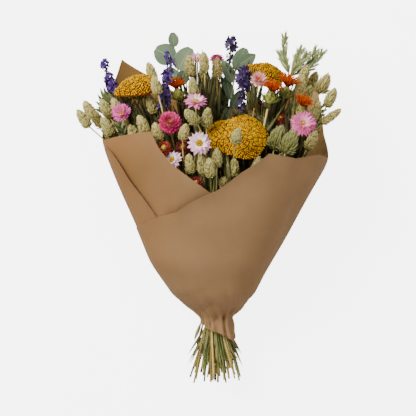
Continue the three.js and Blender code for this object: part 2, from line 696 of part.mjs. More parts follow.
// ---------------------------------------------------------------- heads
function canaryHead({ at, face, length, width }) {
  const rows = [[-0.5, 0.35], [-0.3, 0.9], [-0.06, 0.86], [0.17, 1], [0.5, 0]].map(
    ([height, radius]) => [height * length, (radius * width) / 2],
  );
  return scaly(rows, 5, standing(face, at, at.x));
}

// Yarrow: rings of a triangular net, where every third point stands up as a floret.
const YARROW_UNDERSIDE = 0.16; // how deep its underside is, in half widths
const HEX_STEPS = [[1, 0], [0, 1], [-1, 1], [-1, 0], [0, -1], [1, -1]];
function yarrowHead({ at, face, rx, ry, rise, rings, unit }) {
  const points = [];
  const wobble = unit.length + rx;
  for (let i = 0; i <= rings; i += 1) {
    for (let n = 0; n < Math.max(6 * i, 1); n += 1) {
      const side = i ? Math.floor(n / i) : 0;
      const m = i ? n % i : 0;
      const next = HEX_STEPS[(side + 1) % 6];
      const q = HEX_STEPS[side][0] * (i - m) + next[0] * m;
      const r = HEX_STEPS[side][1] * (i - m) + next[1] * m;
      const floret = (((q - r) % 3) + 3) % 3 === 0 && i < rings;
      const angle = i ? ((side + m / i) * Math.PI) / 3 : 0;
      const edge = 1 + 0.07 * Math.sin(3 * angle + wobble) + 0.05 * Math.sin(5 * angle - wobble);
      const share = (i / rings) * lerp(1, edge, i / rings);
      const height = rise * (1 - (i / rings) ** 2.2) + (floret ? 2.6 : 0);
      points.push(vec(rx * share * Math.cos(angle), ry * share * Math.sin(angle), height - rise / 2));
    }
  }
  const under = points.length;
  points.push(vec(0, 0, -rise / 2 - rx * YARROW_UNDERSIDE));
  const first = (i) => (i ? 1 + 3 * i * (i - 1) : 0);
  const faces = [];
  for (let i = 1; i <= rings; i += 1) {
    const outer = (n) => first(i) + (n % (6 * i));
    const inner = (n) => first(i - 1) + (i > 1 ? n % (6 * (i - 1)) : 0);
    for (let side = 0; side < 6; side += 1) {
      for (let m = 0; m < i; m += 1) {
        faces.push([outer(side * i + m), outer(side * i + m + 1), inner(side * (i - 1) + m)]);
        if (m < i - 1) {
          faces.push([inner(side * (i - 1) + m), outer(side * i + m + 1), inner(side * (i - 1) + m + 1)]);
        }
      }
    }
  }
  for (let n = 0; n < 6 * rings; n += 1) {
    faces.push([first(rings) + ((n + 1) % (6 * rings)), first(rings) + n, under]);
  }
  return solidOf(geometryOf(points, faces).applyMatrix4(standing(face, at)));
}

// The branches that spread from a yarrow's stem to the underside of its head.
function yarrowBranches(plant) {
  const { at, face, rx, ry, rise, neck, base, approach } = plant;
  const placing = standing(face, at);
  return [0, 1, 2, 3, 4].map((k) => {
    const angle = k * 0.4 * Math.PI + 0.3;
    const start = base.clone().lerp(approach, (8 - k * 1.5) / neck).add(at);
    const reach = 0.56;
    const drop = rx * YARROW_UNDERSIDE * (1 - reach);
    const end = vec(rx * reach * Math.cos(angle), ry * reach * Math.sin(angle), -rise / 2 - drop - 2);
    end.applyMatrix4(placing);
    const lean = end.clone().sub(start).normalize();
    return skin([ringRound(start, lean, 1.3, 3), ringRound(end, lean, 1, 3)]);
  });
}

// A ring of petals joined at their roots: each rises from a notch on either side to its tip.
function petals({ count, notch, tip, heights, crease, thickness, placing, turn = 0 }) {
  const [middle, atNotch, atTip] = heights;
  const polar = (radius, share, height) => {
    const angle = ((share + turn) / count) * 2 * Math.PI;
    return vec(radius * Math.cos(angle), radius * Math.sin(angle), height);
  };
  const top = [vec(0, 0, middle)];
  for (let k = 0; k < count; k += 1) {
    const long = 1 + 0.08 * Math.sin(k * 2.4 + notch);
    top.push(polar(notch, k, atNotch));
    top.push(polar((notch + tip) * 0.52, k + 0.5, lerp(atNotch, atTip, 0.5) - crease));
    top.push(polar(tip * long, k + 0.5, atTip));
  }
  const size = top.length;
  const points = [...top, ...top.map((p) => p.clone().add(vec(0, 0, -thickness)))];
  const faces = [];
  for (let k = 0; k < count; k += 1) {
    const [n, m, t] = [1 + 3 * k, 2 + 3 * k, 3 + 3 * k];
    const after = 1 + 3 * ((k + 1) % count);
    [[0, n, m], [0, m, after], [m, n, t], [m, t, after]].forEach(([a, b, c]) => {
      faces.push([a, b, c], [a + size, c + size, b + size]);
    });
    [[n, t], [t, after]].forEach(([a, b]) => {
      faces.push([a, a + size, b + size], [a, b + size, b]);
    });
  }
  return solidOf(geometryOf(points, faces).applyMatrix4(placing));
}

const LARGE_HEAD = 15; // a head wider than this has more petals
function acrocliniumHead({ at, face, radius }) {
  const placing = standing(face, at, radius);
  const outer = petals({
    count: 10, notch: radius * 0.42, tip: radius, heights: [0, 1, 3.2], crease: 1, thickness: 1, placing,
  });
  const inner = petals({
    count: 6, notch: radius * 0.4, tip: radius * 0.74, heights: [0.7, 2.4, 6], crease: 0.7, thickness: 1.1,
    placing, turn: 0.5,
  });
  return radius > LARGE_HEAD ? outer.add(inner) : outer;
}

function acrocliniumDisc({ at, face, radius }) {
  const r = radius * 0.3;
  const rows = [
    [1.2, 0], [1.5 + r * 0.5, r], [3.6 + r * 0.3, r * 0.85], [4 + r * 0.35, r * 0.5], [3.9 + r * 0.35, 0],
  ];
  return scaly(rows, 8, standing(face, at));
}

// Strawflower: a rounded, waisted middle in a ring of stiff bracts.
function strawflowerHead({ at, face, radius, deep }) {
  const placing = standing(face, at, radius);
  const half = deep / 2;
  const profile = [
    [-1, 0], [-0.6, 0.5], [0, 0.58], [0.5, 0.66], [0.55, 0.3], [1, 0.4], [0.9, 0],
  ].map(([height, wide]) => [height * half, wide * radius]);
  const core = scaly(profile, radius > LARGE_HEAD ? 8 : 6, placing);
  const low = -half * 0.2;
  const bracts = petals({
    count: radius > LARGE_HEAD ? 12 : 9, notch: radius * 0.62, tip: radius,
    heights: [low - 1, low, half * 0.35], crease: 0.4, thickness: 1.6, placing,
  });
  return core.add(bracts);
}

function safflowerBulb({ at, face }) {
  const rows = [[-0.5, 0.3], [-0.28, 0.95], [-0.08, 0.86], [0.12, 1.04], [0.3, 0.72], [0.5, 0.5]].map(
    ([height, radius]) => [height * BULB.length, (radius * BULB.width) / 2],
  );
  return scaly(rows, 6, standing(face, at));
}

// The orange tuft: thin florets that fan out of a small core on top of the bulb.
function safflowerTuft({ at, face }) {
  const placing = standing(face, at.clone().addScaledVector(face, BULB.length / 2 + SEAT_GAP));
  const core = scaly([[0, 2.6], [5, 5.2], [8, 0]], 7, placing);
  const count = 12;
  const florets = Array.from({ length: count }, (_, k) => {
    const share = Math.sqrt((k + 0.5) / count);
    const angle = k * GOLDEN_ANGLE;
    const lean = vec(Math.cos(angle) * share * 0.75, Math.sin(angle) * share * 0.75, 1).normalize();
    const root = vec(Math.cos(angle) * share * 3.4, Math.sin(angle) * share * 3.4, 3.2);
    const tip = root.clone().addScaledVector(lean, 12 + 3 * draw(k));
    const ring = ringRound(root, lean, 1.3, 3);
    return skin([ring, [tip]].map((points) => points.map((p) => p.applyMatrix4(placing))));
  });
  return union([core, ...florets]);
}

// A larkspur spike: open five-petalled florets close along a thin axis.
function larkspurSpike({ at, line, floret, count }) {
  const curve = new THREE.CatmullRomCurve3(line.map((p) => p.clone().add(at)));
  const axis = Array.from({ length: 5 }, (_, k) => {
    const share = k / 4;
    return ringRound(curve.getPointAt(share), curve.getTangentAt(share), lerp(2.4, 1.5, share), 4);
  });
  const florets = Array.from({ length: count }, (_, k) => {
    const share = (k + 0.6) / count;
    const along = curve.getTangentAt(share);
    const side = ALONG_X.clone().addScaledVector(along, -ALONG_X.dot(along)).normalize();
    const out = side.applyAxisAngle(along, k * GOLDEN_ANGLE);
    const size = floret * lerp(1.05, 0.7, share);
    const lean = out.clone().addScaledVector(along, 0.35).normalize();
    const root = curve.getPointAt(share);
    const mouth = root.clone().addScaledVector(lean, size * 0.85);
    const rim = ringRound(mouth.clone().addScaledVector(lean, 0.6), lean, size, 10).map((p, j) =>
      j % 2 ? p.lerp(mouth, 0.5) : p,
    );
    return skin([[root], rim, [mouth.clone().addScaledVector(lean, 1.8)]]);
  });
  return union([skin(axis), ...florets]);
}

// A leaf along +X, folded at its rib: rows of [share of length, share of half width].
function leaf({ length, width, fold, thickness, rows, placing }) {
  const top = [vec(0, 0, 0)];
  rows.forEach(([along, wide]) => {
    const x = along * length;
    const y = (wide * width) / 2;
    const arch = -0.12 * length * along * along;
    top.push(vec(x, -y, arch + fold * y), vec(x, 0, arch), vec(x, y, arch + fold * y));
  });
  top.push(vec(length, 0, -0.12 * length));
  const size = top.length;
  const points = [...top, ...top.map((p) => p.clone().add(vec(0, 0, -thickness)))];
  const tip = size - 1;
  const tops = [[0, 1, 2], [0, 2, 3]];
  const edge = [0];
  for (let k = 0; k < rows.length - 1; k += 1) {
    const [a, b] = [1 + 3 * k, 4 + 3 * k];
    tops.push([a, b, b + 1], [a, b + 1, a + 1], [a + 1, b + 1, b + 2], [a + 1, b + 2, a + 2]);
  }
  const end = 1 + 3 * (rows.length - 1);
  tops.push([end, tip, end + 1], [end + 1, tip, end + 2]);
  rows.forEach((_, k) => edge.push(1 + 3 * k));
  edge.push(tip);
  rows.forEach((_, k) => edge.push(3 + 3 * (rows.length - 1 - k)));
  const faces = tops.flatMap(([a, b, c]) => [[a, b, c], [a + size, c + size, b + size]]);
  edge.forEach((a, k) => {
    const b = edge[(k + 1) % edge.length];
    faces.push([a, a + size, b + size], [a, b + size, b]);
  });
  return solidOf(geometryOf(points, faces).applyMatrix4(placing));
}

function leafPlacing(root, heading, tilt, lift) {
  const turn = new THREE.Euler(tilt, -lift, THREE.MathUtils.degToRad(heading), "ZYX");
  return new THREE.Matrix4().compose(root, new THREE.Quaternion().setFromEuler(turn), vec(1, 1, 1));
}

const ROUND_LEAF = [[0.14, 0.66], [0.48, 1], [0.84, 0.66]];
const LONG_LEAF = [[0.42, 1]];

function eucalyptusTwig(plant) {
  const shift = plant.at.clone().sub(plant.home);
  const curve = new THREE.CatmullRomCurve3(plant.line.map((p) => p.clone().add(plant.at)));
  const twig = Array.from({ length: 5 }, (_, k) =>
    ringRound(curve.getPointAt(k / 4), curve.getTangentAt(k / 4), lerp(plant.stem, 1, k / 4), 3),
  );
  const blades = plant.leaves.map(([x, y, z, heading, length, width, tilt]) => {
    const near = vec(x, y, z).add(shift);
    const spots = Array.from({ length: 21 }, (_, k) => curve.getPoint(k / 20));
    const root = spots.reduce((best, spot) => (spot.distanceTo(near) < best.distanceTo(near) ? spot : best));
    const placing = leafPlacing(root.clone().add(vec(0, 0, 0.6)), heading, tilt, 0.05);
    return leaf({ length, width, fold: 0.12, thickness: 1.3, rows: ROUND_LEAF, placing });
  });
  return [skin(twig), ...blades];
}

// The leaves of a leafy stem stand off its upper part, turning round it.
function leafySprig(plant, number) {
  const top = plant.at.clone();
  const low = plant.at.clone().add(plant.base);
  const sprig = skin([
    ringRound(low.clone().addScaledVector(plant.face, -2), plant.face, 1.1, 3),
    ringRound(top, plant.face, 0.8, 3),
  ]);
  const blades = Array.from({ length: 4 }, (_, k) => {
    const root = low.clone().lerp(top, 0.12 + 0.25 * k).addScaledVector(UP, 0.4);
    const flat = THREE.MathUtils.radToDeg(Math.atan2(plant.face.y, plant.face.x));
    const side = k % 2 ? 1 : -1;
    const placing = leafPlacing(root, flat + side * (28 + 8 * draw(number + k)), side * 0.5, 0.15);
    return leaf({ length: 21 - 2 * k, width: 6.5, fold: 0.25, thickness: 0.9, rows: LONG_LEAF, placing });
  });
  return [sprig, ...blades];
}

function oatPanicle(plant) {
  const shift = plant.at.clone().sub(plant.home);
  const foot = plant.at.clone();
  const parts = [];
  OATS.rays.forEach((ray, r) => {
    const points = ray.map((p) => vec(...p).add(shift));
    const curve = new THREE.CatmullRomCurve3([foot, ...points]);
    const rings = [0, 0.5, 1].map((share) =>
      ringRound(curve.getPointAt(share), curve.getTangentAt(share), lerp(1, 0.7, share), 3),
    );
    parts.push(skin(rings));
    for (let k = 0; k < OATS.spikelets; k += 1) {
      const share = 0.4 + (0.6 * (k + 0.95)) / OATS.spikelets;
      const along = curve.getTangentAt(Math.min(share, 1));
      const side = along.clone().cross(UP).normalize().multiplyScalar((k + r) % 2 ? 1 : -1);
      const lift = 0.25 * ((k % 3) - 1);
      const lean = along.clone().addScaledVector(side, 0.5).addScaledVector(UP, lift).normalize();
      const root = curve.getPointAt(Math.min(share, 1)).addScaledVector(lean, -1.5);
      const middle = root.clone().addScaledVector(lean, 6);
      parts.push(skin([[root], ringRound(middle, lean, 2.3, 3), [root.clone().addScaledVector(lean, 18)]]));
    }
  });
  return parts;
}

// ---------------------------------------------------------------- the binding
// An elastic tie wound three times: one ring whose outside swells at each turn.
function stemBinding() {
  const rise = 3;
  const reach = Math.max(...units.map((unit) => unit.centre.length() + unit.radius));
  const inner = reach + BINDING_ROOM;
  const profile = [
    [inner, -rise], [BINDING_RADIUS, -rise * 0.7], [BINDING_RADIUS - 0.5, -rise * 0.33], [BINDING_RADIUS, 0],
    [BINDING_RADIUS - 0.5, rise * 0.33], [BINDING_RADIUS, rise * 0.7], [inner, rise], [inner, -rise],
  ].map(([x, y]) => new THREE.Vector2(x, y));
  const ring = new THREE.LatheGeometry(profile, 14);
  ring.translate(TIE.x, TIE.y, TIE.z);
  return solidOf(ring);
}

// ---------------------------------------------------------------- the scene graph
const bouquet = new THREE.Group();

function addNode(name, solid, colour, roughness = 0.85) {
  const made = solid.getMesh();
  const geometry = new THREE.BufferGeometry();
  geometry.setAttribute("position", new THREE.BufferAttribute(made.vertProperties, 3));
  geometry.setIndex(new THREE.BufferAttribute(made.triVerts, 1));
  geometry.computeVertexNormals();
  const material = new THREE.MeshStandardMaterial({ color: colour, roughness, metalness: 0 });
  const mesh = new THREE.Mesh(geometry, material);
  mesh.name = name;
  bouquet.add(mesh);
}

const COLOURS = {
  paper: 0xa57d5a,
  binding: 0xc9b27c,
  canary: 0xb9b184,
  stem: 0x8d9058,
  straw: 0xb9a266,
  yarrow: 0xe0a81c,
  larkspur: 0x4b3a8c,
  eucalyptus: 0x7d9488,
  pink: 0xe79ab8,
  disc: 0xe8c22f,
  hotPink: 0xc9286b,
  darkRed: 0x7d1f2a,
  orange: 0xc8621c,
  bulb: 0x9aa36a,
  leafy: 0x5e6b3c,
  oats: 0x93a06a,
};
const ACROCLINIUM_COLOURS = [0xd98bb0, 0xe8a3c0, 0xf0dfe2, 0xecc9d4, 0xe68fb6, 0xe5a48c, 0xe7a5bb];
const STRAWFLOWER_COLOURS = [
  COLOURS.hotPink, COLOURS.darkRed, COLOURS.darkRed, COLOURS.darkRed, COLOURS.darkRed, 0x9c2430, 0xb0246a,
];
const HEADS_WITH_DISC = 4;

addNode("paper_wrap", paperWrap(), COLOURS.paper, 0.8);
addNode("stem_binding", stemBinding(), COLOURS.binding);

const numberOf = (plant) => plants.indexOf(plant);
units.forEach(({ name, members }) => {
  const kind = members[0].kind;
  if (kind === "canary_grass") {
    const parts = members.flatMap((plant) => [stemOf(plant, numberOf(plant), 4), canaryHead(plant)]);
    addNode(name, union(parts), COLOURS.canary);
  }
  if (kind === "yarrow") {
    const [plant] = members;
    const reach = plant.foot - plant.rise / 2 - plant.rx * YARROW_UNDERSIDE - 2 * SEAT_GAP;
    const stem = union([stemOf(plant, numberOf(plant), reach), ...yarrowBranches(plant)]);
    const holes = plants
      .filter((other) => other.through === name)
      .map((other) => stemOf({ ...other, stem: other.stem + SEAT_GAP + 0.2 }, numberOf(other), 0));
    const head = holes.reduce((whole, hole) => whole.subtract(hole), yarrowHead(plant));
    addNode(name + "_head", head, COLOURS.yarrow);
    addNode(name + "_stem", stem, COLOURS.stem);
  }
  if (kind === "larkspur") {
    const [plant] = members;
    addNode(name + "_florets", larkspurSpike(plant), COLOURS.larkspur);
    addNode(name + "_stem", stemOf(plant, numberOf(plant), -SEAT_GAP), COLOURS.stem);
  }
  if (kind === "eucalyptus") {
    const [plant] = members;
    addNode(name, union([stemOf(plant, numberOf(plant), 2), ...eucalyptusTwig(plant)]), COLOURS.eucalyptus);
  }
  if (kind === "acroclinium" || kind === "strawflower") {
    addNode(name, union(members.map((plant) => stemOf(plant, numberOf(plant), -SEAT_GAP))), COLOURS.straw);
  }
  if (kind === "safflower") {
    const [plant] = members;
    addNode(name, union([stemOf(plant, numberOf(plant), 3), safflowerBulb(plant)]), COLOURS.bulb);
    addNode(name + "_tuft", safflowerTuft(plant), COLOURS.orange);
  }
  if (kind === "leafy") {
    const parts = members.flatMap((plant) => {
      const number = numberOf(plant);
      return [stemOf(plant, number, 1), ...leafySprig(plant, number)];
    });
    addNode(name, union(parts), COLOURS.leafy);
  }
  if (kind === "oats") {
    const [plant] = members;
    addNode(name, union([stemOf(plant, numberOf(plant), 1), ...oatPanicle(plant)]), COLOURS.oats);
  }
});

plants
  .filter((plant) => plant.kind === "acroclinium")
  .forEach((plant, k) => {
    addNode(plant.head + "_petals", acrocliniumHead(plant), ACROCLINIUM_COLOURS[k], 0.6);
    if (k < HEADS_WITH_DISC) addNode(plant.head + "_disc", acrocliniumDisc(plant), COLOURS.disc);
  });
plants
  .filter((plant) => plant.kind === "strawflower")
  .forEach((plant, k) => addNode(plant.head, strawflowerHead(plant), STRAWFLOWER_COLOURS[k], 0.45));

export default bouquet;
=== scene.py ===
"""The looks of a mixed bouquet of dried flowers, rolled in a cone of brown kraft paper and lying on its back.

Everything is worked out in millimetres: +Y runs from the cut stems to the flowers, +Z up out of the bouquet's front.
"""
from types import SimpleNamespace

import bpy
import numpy as np
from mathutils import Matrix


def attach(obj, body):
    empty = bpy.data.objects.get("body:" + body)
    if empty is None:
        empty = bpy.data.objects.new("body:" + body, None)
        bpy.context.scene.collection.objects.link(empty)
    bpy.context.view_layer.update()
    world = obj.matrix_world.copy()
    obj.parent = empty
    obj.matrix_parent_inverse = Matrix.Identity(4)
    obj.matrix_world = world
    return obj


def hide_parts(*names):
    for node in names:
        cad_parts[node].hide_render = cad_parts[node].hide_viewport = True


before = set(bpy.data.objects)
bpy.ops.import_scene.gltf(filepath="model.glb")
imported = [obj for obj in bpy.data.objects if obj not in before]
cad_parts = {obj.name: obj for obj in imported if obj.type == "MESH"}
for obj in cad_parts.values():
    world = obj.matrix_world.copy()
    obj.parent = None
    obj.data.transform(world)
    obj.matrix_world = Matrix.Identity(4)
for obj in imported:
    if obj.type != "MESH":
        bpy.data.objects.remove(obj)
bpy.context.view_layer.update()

# ---------------------------------------------------------------- the room
# The bouquet lies on a plain pale floor under broad soft lights. The camera is far above it and looks straight
# down, with the flowers at the top of the picture. One pixel of a 416 pixel wide picture is 1.5 mm of the bouquet.
PIXEL, PICTURE_WIDTH, FILM_WIDTH = 1.5, 416, 36.0
CAMERA_HEIGHT, MIDDLE_HEIGHT = 7.0, 0.11
LIGHTS_AIM = np.array([0.0, 0.03, 0.1])


def placed(name, data):
    """A new object in the scene."""
    made = bpy.data.objects.new(name, data)
    bpy.context.scene.collection.objects.link(made)
    return made


camera = placed("camera", bpy.data.cameras.new("camera"))
camera.data.sensor_width = FILM_WIDTH
camera.data.lens = FILM_WIDTH * (CAMERA_HEIGHT - MIDDLE_HEIGHT) / (PICTURE_WIDTH * PIXEL / 1000)
camera.data.clip_end = 60.0
camera.location = (-PIXEL / 2000, -PIXEL / 2000, CAMERA_HEIGHT)
bpy.context.scene.camera = camera
for name, place, size, watts in [("window_light", (-1.5, 1.1, 1.9), 1.3, 94), ("fill_light", (1.6, -0.6, 2.4), 1.8, 19),
                                 ("low_light", (-1.0, 1.7, 0.8), 1.0, 22)]:
    lamp = placed(name, bpy.data.lights.new(name, "AREA"))
    lamp.data.size, lamp.data.energy, lamp.location = size, watts, place
    x, y, z = np.array(place) - LIGHTS_AIM
    lamp.rotation_euler = (np.arctan2(np.hypot(x, y), z), 0, np.arctan2(x, -y))
world = bpy.data.worlds.new("studio")
world.use_nodes = True
sky = world.node_tree.nodes["Background"].inputs
sky["Color"].default_value, sky["Strength"].default_value = (1.0, 0.995, 0.985, 1), 0.55
bpy.context.scene.world = world


class Wire:
    """A value that changes over a material's surface. Arithmetic on it adds Math nodes."""

    def __init__(self, tree, socket=None):
        self.tree, self.socket = tree, socket

    def made(self, kind, settings=(), sockets=(), out=0):
        """Adds a node of that type, sets it, fills or links its sockets, and gives one of its outputs."""
        node = self.tree.nodes.new(kind)
        for key, value in dict(settings).items():
            setattr(node, key, value)
        for key, value in dict(sockets).items():
            if isinstance(value, Wire):
                self.tree.links.new(value.socket, node.inputs[key])
            else:
                node.inputs[key].default_value = value
        return Wire(self.tree, node.outputs[out]) if len(node.outputs) else None

    def maths(self, operation, *others):
        """A Math node on the wire and other wires or numbers."""
        return self.made("ShaderNodeMath", {"operation": operation}, dict(enumerate((self, *others))))

    def __add__(self, other):
        return self.maths("ADD", other)

    def __mul__(self, other):
        return self.maths("MULTIPLY", other)

    def __sub__(self, other):
        return self.maths("SUBTRACT", other)

    def __rsub__(self, other):
        return self * -1.0 + other

    __radd__, __rmul__ = __add__, __mul__

    def mark(self, name):
        """The value of a mesh attribute."""
        return self.made("ShaderNodeAttribute", {"attribute_name": name}, out="Fac")

    along, across, tone = (property(lambda self, name=name: self.mark(name)) for name in ("along", "across", "tone"))

    def noise(self, scale, detail=3.0):
        """Cloudy numbers round 0.5, with this many clouds to the unit of the wire."""
        return self.made("ShaderNodeTexNoise", (), {"Vector": self, "Scale": scale, "Detail": detail})

    def ramp(self, *stops):
        """A colour that runs through (share, colour) stops."""
        colours = self.made("ShaderNodeValToRGB", (), {0: self})
        kept = colours.socket.node.color_ramp.elements
        for _ in stops[2:]:
            kept.new(0.5)
        for stop, (share, colour) in zip(kept, stops):
            stop.position, stop.color = share, seen(*colour)
        return colours

    def mixed(self, first, second):
        """From the first colour where the wire is 0 to the second where it is 1."""
        ends = (end if isinstance(end, Wire) else seen(*end) for end in (first, second))
        return self.made("ShaderNodeMix", {"data_type": "RGBA"}, {0: self, **dict(zip((6, 7), ends))}, out=2)

    def painted(self, colour, roughness, height=None, depth=0.0, **fixed):
        """Ends the material: a surface of that colour and roughness, with `height` as relief of `depth` mm."""
        values = {"Base Color": colour, "Roughness": roughness, **{k.replace("_", " "): v for k, v in fixed.items()}}
        if height is not None:
            values["Normal"] = self.made("ShaderNodeBump", (), {"Height": height, "Distance": depth / 1000})
        surface = self.made("ShaderNodeBsdfPrincipled", (), values)
        self.made("ShaderNodeOutputMaterial", (), {"Surface": surface})


LIGHT, VIVID, DULLED, PALEST, DARKEST = 1.5, 1.14, 8.75, 0.9, 0.001


def seen(*colour):
    """The paint that looks like this colour, 0 to 255, in the studio's light: its linear value, a little more vivid,
    which grows by DULLED m^4 for its mean m, as the picture dulls what is bright, over the strength of the light."""
    share = np.array(colour) / 255
    flat = np.where(share <= 0.04045, share / 12.92, ((share + 0.055) / 1.055) ** 2.4)
    mean = flat.mean()
    paint = (mean + (flat - mean) * VIVID) * (1 + DULLED * mean**4) / LIGHT
    return (*np.maximum(paint / max(paint.max() / PALEST, 1.0), DARKEST), 1.0)


def new_finish(name):
    """A bare material and the wire of its object coordinates, in metres."""
    material = bpy.data.materials.new(name)
    material.use_nodes = True
    material.node_tree.nodes.clear()
    return material, Wire(material.node_tree).made("ShaderNodeTexCoord", out="Object")


def mottled(name, scale, dark, pale, roughness, edge=0.3, detail=3.0, **fixed):
    """A finish of two colours in clouds, `scale` of them to the metre."""
    finish, spot = new_finish(name)
    spot.painted(spot.noise(scale, detail).ramp((edge, dark), (1 - edge, pale)), roughness, **fixed)
    return finish


# The floor glows for the camera alone, so that it looks as pale as a studio's and lights nothing from below.
pale_floor, spot = new_finish("pale floor")
FLOOR_EDGE, FLOOR_DROP, FLOOR_GLOW = 9, -0.0002, 5.0
plain, glowing = (spot.made("ShaderNodeBsdfPrincipled", (), {
    "Base Color": (0.8, 0.8, 0.79, 1), "Roughness": 0.9, "Emission Color": (1, 1, 0.99, 1), "Emission Strength": glow,
}) for glow in (0.0, FLOOR_GLOW))
seen_floor = spot.made("ShaderNodeLightPath", out="Is Camera Ray")
both = spot.made("ShaderNodeMixShader", (), {0: seen_floor, 1: plain, 2: glowing})
spot.made("ShaderNodeOutputMaterial", (), {"Surface": both})
floor = placed("floor", bpy.data.meshes.new("floor"))
corners = [(x * FLOOR_EDGE, y * FLOOR_EDGE, FLOOR_DROP) for x, y in ((-1, -1), (1, -1), (1, 1), (-1, 1))]
floor.data.from_pydata(corners, [], [(0, 1, 2, 3)])
floor.data.materials.append(pale_floor)


# ---------------------------------------------------------------- the kraft paper
# One sheet of brown kraft paper, 0.25 mm thick here, rolled into a cone round the stems. Its right side laps over
# the left one in front, it is squeezed to a neck over the tie, and it ends below that in a short crumpled skirt.
PAPER, LAP, SQUARENESS = 0.25, 0.95, 2.4
PICTURE_MIDDLE = (208.5, 207.5)
NECK_LOW, NECK_HIGH, FOLD_FOOT = -174, -124, -62
COLUMNS, LOW_ROWS, NECK_ROWS, HIGH_ROWS = 231, 8, 30, 62
FOLD_COLUMNS, FOLD_ROWS = 70, 46
# Rows of (y, mm) for the cone's middle, half width, half depth and underside, and of (angle, mm) for its edges and
# for how far each turn of the sheet stands outside the one below it. The angle runs from the front to the right.
WRAP_MIDDLE_X = [
    (-204, 12.5), (-166, 12.8), (-149, 11.1), (-131, 7.7), (-83, 3.8), (-23, 8.3), (73, 15.2), (100, 7.7),
]
WRAP_HALF_WIDTH = [
    (-204, 28.5), (-190, 26.2), (-175, 23.2), (-166, 22.5), (-149, 41), (-131, 62), (-83, 92), (-23, 120), (73, 169),
    (100, 170.5), (226, 172),
]
WRAP_HALF_DEPTH = [(-204, 24), (-175, 22.4), (-166, 22), (-149, 37), (-131, 52), (-83, 72), (-23, 85), (73, 100)]
WRAP_LOWEST = [(-204, 20.5), (-166, 22.5), (-149, 15), (-131, 8), (-83, 1), (-49, -4)]
WRAP_TOP = [
    (-100, -36), (-90, -32), (-58, -23), (-21, -7), (-1, 22), (9, 51), (23, 80), (41, 73), (62, 79), (90, 72),
    (104, 111), (111, 151), (121, 202), (150, 165), (180, 150), (213, 203), (231, 225), (235, 205), (250, 145),
    (270, 98), (299, 104), (331, 113), (334, 88), (339, 64), (344, 53), (358, 22), (380, -11),
]
WRAP_BOTTOM = [(-100, -175), (-60, -177), (0, -189), (60, -204), (90, -195), (180, -184), (270, -175), (380, -177)]
WRAP_LAYER = [(-100, -0.3), (-70, 0.6), (-40, LAP), (20, LAP), (75, 0), (215, 0), (275, -LAP), (380, -LAP)]
# The pleat's edge, in pixels of the 416 pixel wide picture from its upper left corner.
PLEAT = [(106, 146), (114, 152.5), (121, 162), (126.5, 171), (131, 178.5), (143, 195), (157, 215.5), (176, 243)]


def unit(v):
    """Vectors scaled to length 1."""
    return v / (np.linalg.norm(v, axis=-1, keepdims=True) + 1e-12)


def through(table, x):
    """The value at x on straight lines through (x, value) rows."""
    rows = np.array(table, float)
    return np.interp(x, rows[:, 0], rows[:, 1])


def eased(table, y):
    """The same with its corners rounded: the mean of the lines over a bell to either side, 4 mm wide at the neck
    and up to 18 mm wide above it."""
    steps = np.linspace(-2, 2, 13)
    bell = np.exp(-steps**2)
    reach = 4 + 14 * np.clip((y + 150) / 90, 0, 1)
    return sum(b * through(table, y + reach * s) for b, s in zip(bell / bell.sum(), steps))


def creases(angle, y):
    """How far the paper stands off its even shape, mm: pleats that run out of the neck and die away up the cone,
    a pinched hollow at the right of the neck, and slow waves in the panels."""
    turn = np.radians(angle)
    near = np.exp(-(np.maximum(y + 158, 0) / 30) ** 1.5) * np.exp(-(np.maximum(-y - 166, 0) / 60) ** 2)
    slant = turn + 0.005 * (y + 166)
    pleats = np.abs(np.sin(5.5 * slant + 1.3 * np.sin(2 * turn))) - 1.0
    pleats += 0.6 * np.abs(np.sin(9 * slant - 2 * np.sin(turn) + 1))
    puff = np.exp(-(((y + 146) / 9) ** 2)) * (0.6 + 0.4 * np.sin(3 * turn + 1)) * 1.6
    cross = np.abs(np.sin(0.13 * y + 3.4 * np.sin(1.5 * turn) + 2.0 * turn)) - 0.6
    cross *= np.exp(-(((y + 158) / 24) ** 2))
    slow = np.sin(2 * turn + 0.021 * y) + 0.8 * np.sin(3 * turn - 0.034 * y + 1)
    slow += 0.5 * np.sin(5 * turn + 0.05 * y + 2)
    up = np.clip((y + 120) / 90, 0, 1)
    hollow = np.exp(-(((angle - 40) / 10) ** 2) - ((y + 158) / 6) ** 2)
    valley_at = 46 + (64 - y) * 0.257
    valley = np.exp(-(((angle - valley_at) / 9.0) ** 2)) * np.clip((y + 130) / 60, 0, 1)
    flare = np.clip((-y - 176) / 25, 0, 1) * np.sin(6 * turn + 1)
    return 4.6 * near * pleats + puff + 4.0 * cross + 0.55 * up * slow - 6.0 * hollow - 4.0 * valley + 1.5 * flare


def bent(v, power):
    """The size of v to a power, with its sign."""
    return np.sign(v) * np.abs(v) ** power


def wrap_point(angle, y, layer=0.0, lift=0.0):
    """Points of the sheet's middle surface. A section is the superellipse |x/a|^q + |z/b|^q = 1 at its y, pressed
    flat at the floor. `layer` widens it, and `lift` moves a point along its outward normal."""
    turn = np.radians(angle)
    half_depth = eased(WRAP_HALF_DEPTH, y)
    wide, deep = eased(WRAP_HALF_WIDTH, y) + layer, half_depth + layer
    side, front = (bent(v, 2 / SQUARENESS) for v in (np.sin(turn), np.cos(turn)))
    out = np.stack([np.sin(turn) / wide, 0 * turn, np.cos(turn) / deep], -1)
    out /= np.linalg.norm(out, axis=-1, keepdims=True)
    x = eased(WRAP_MIDDLE_X, y) + wide * side
    z = eased(WRAP_LOWEST, y) + half_depth + deep * front
    point = np.stack([x, y + 0 * x, z], -1) + out * np.expand_dims(lift, -1)
    point[..., 2] = np.maximum(point[..., 2], PAPER / 2 + 0.02)
    return point


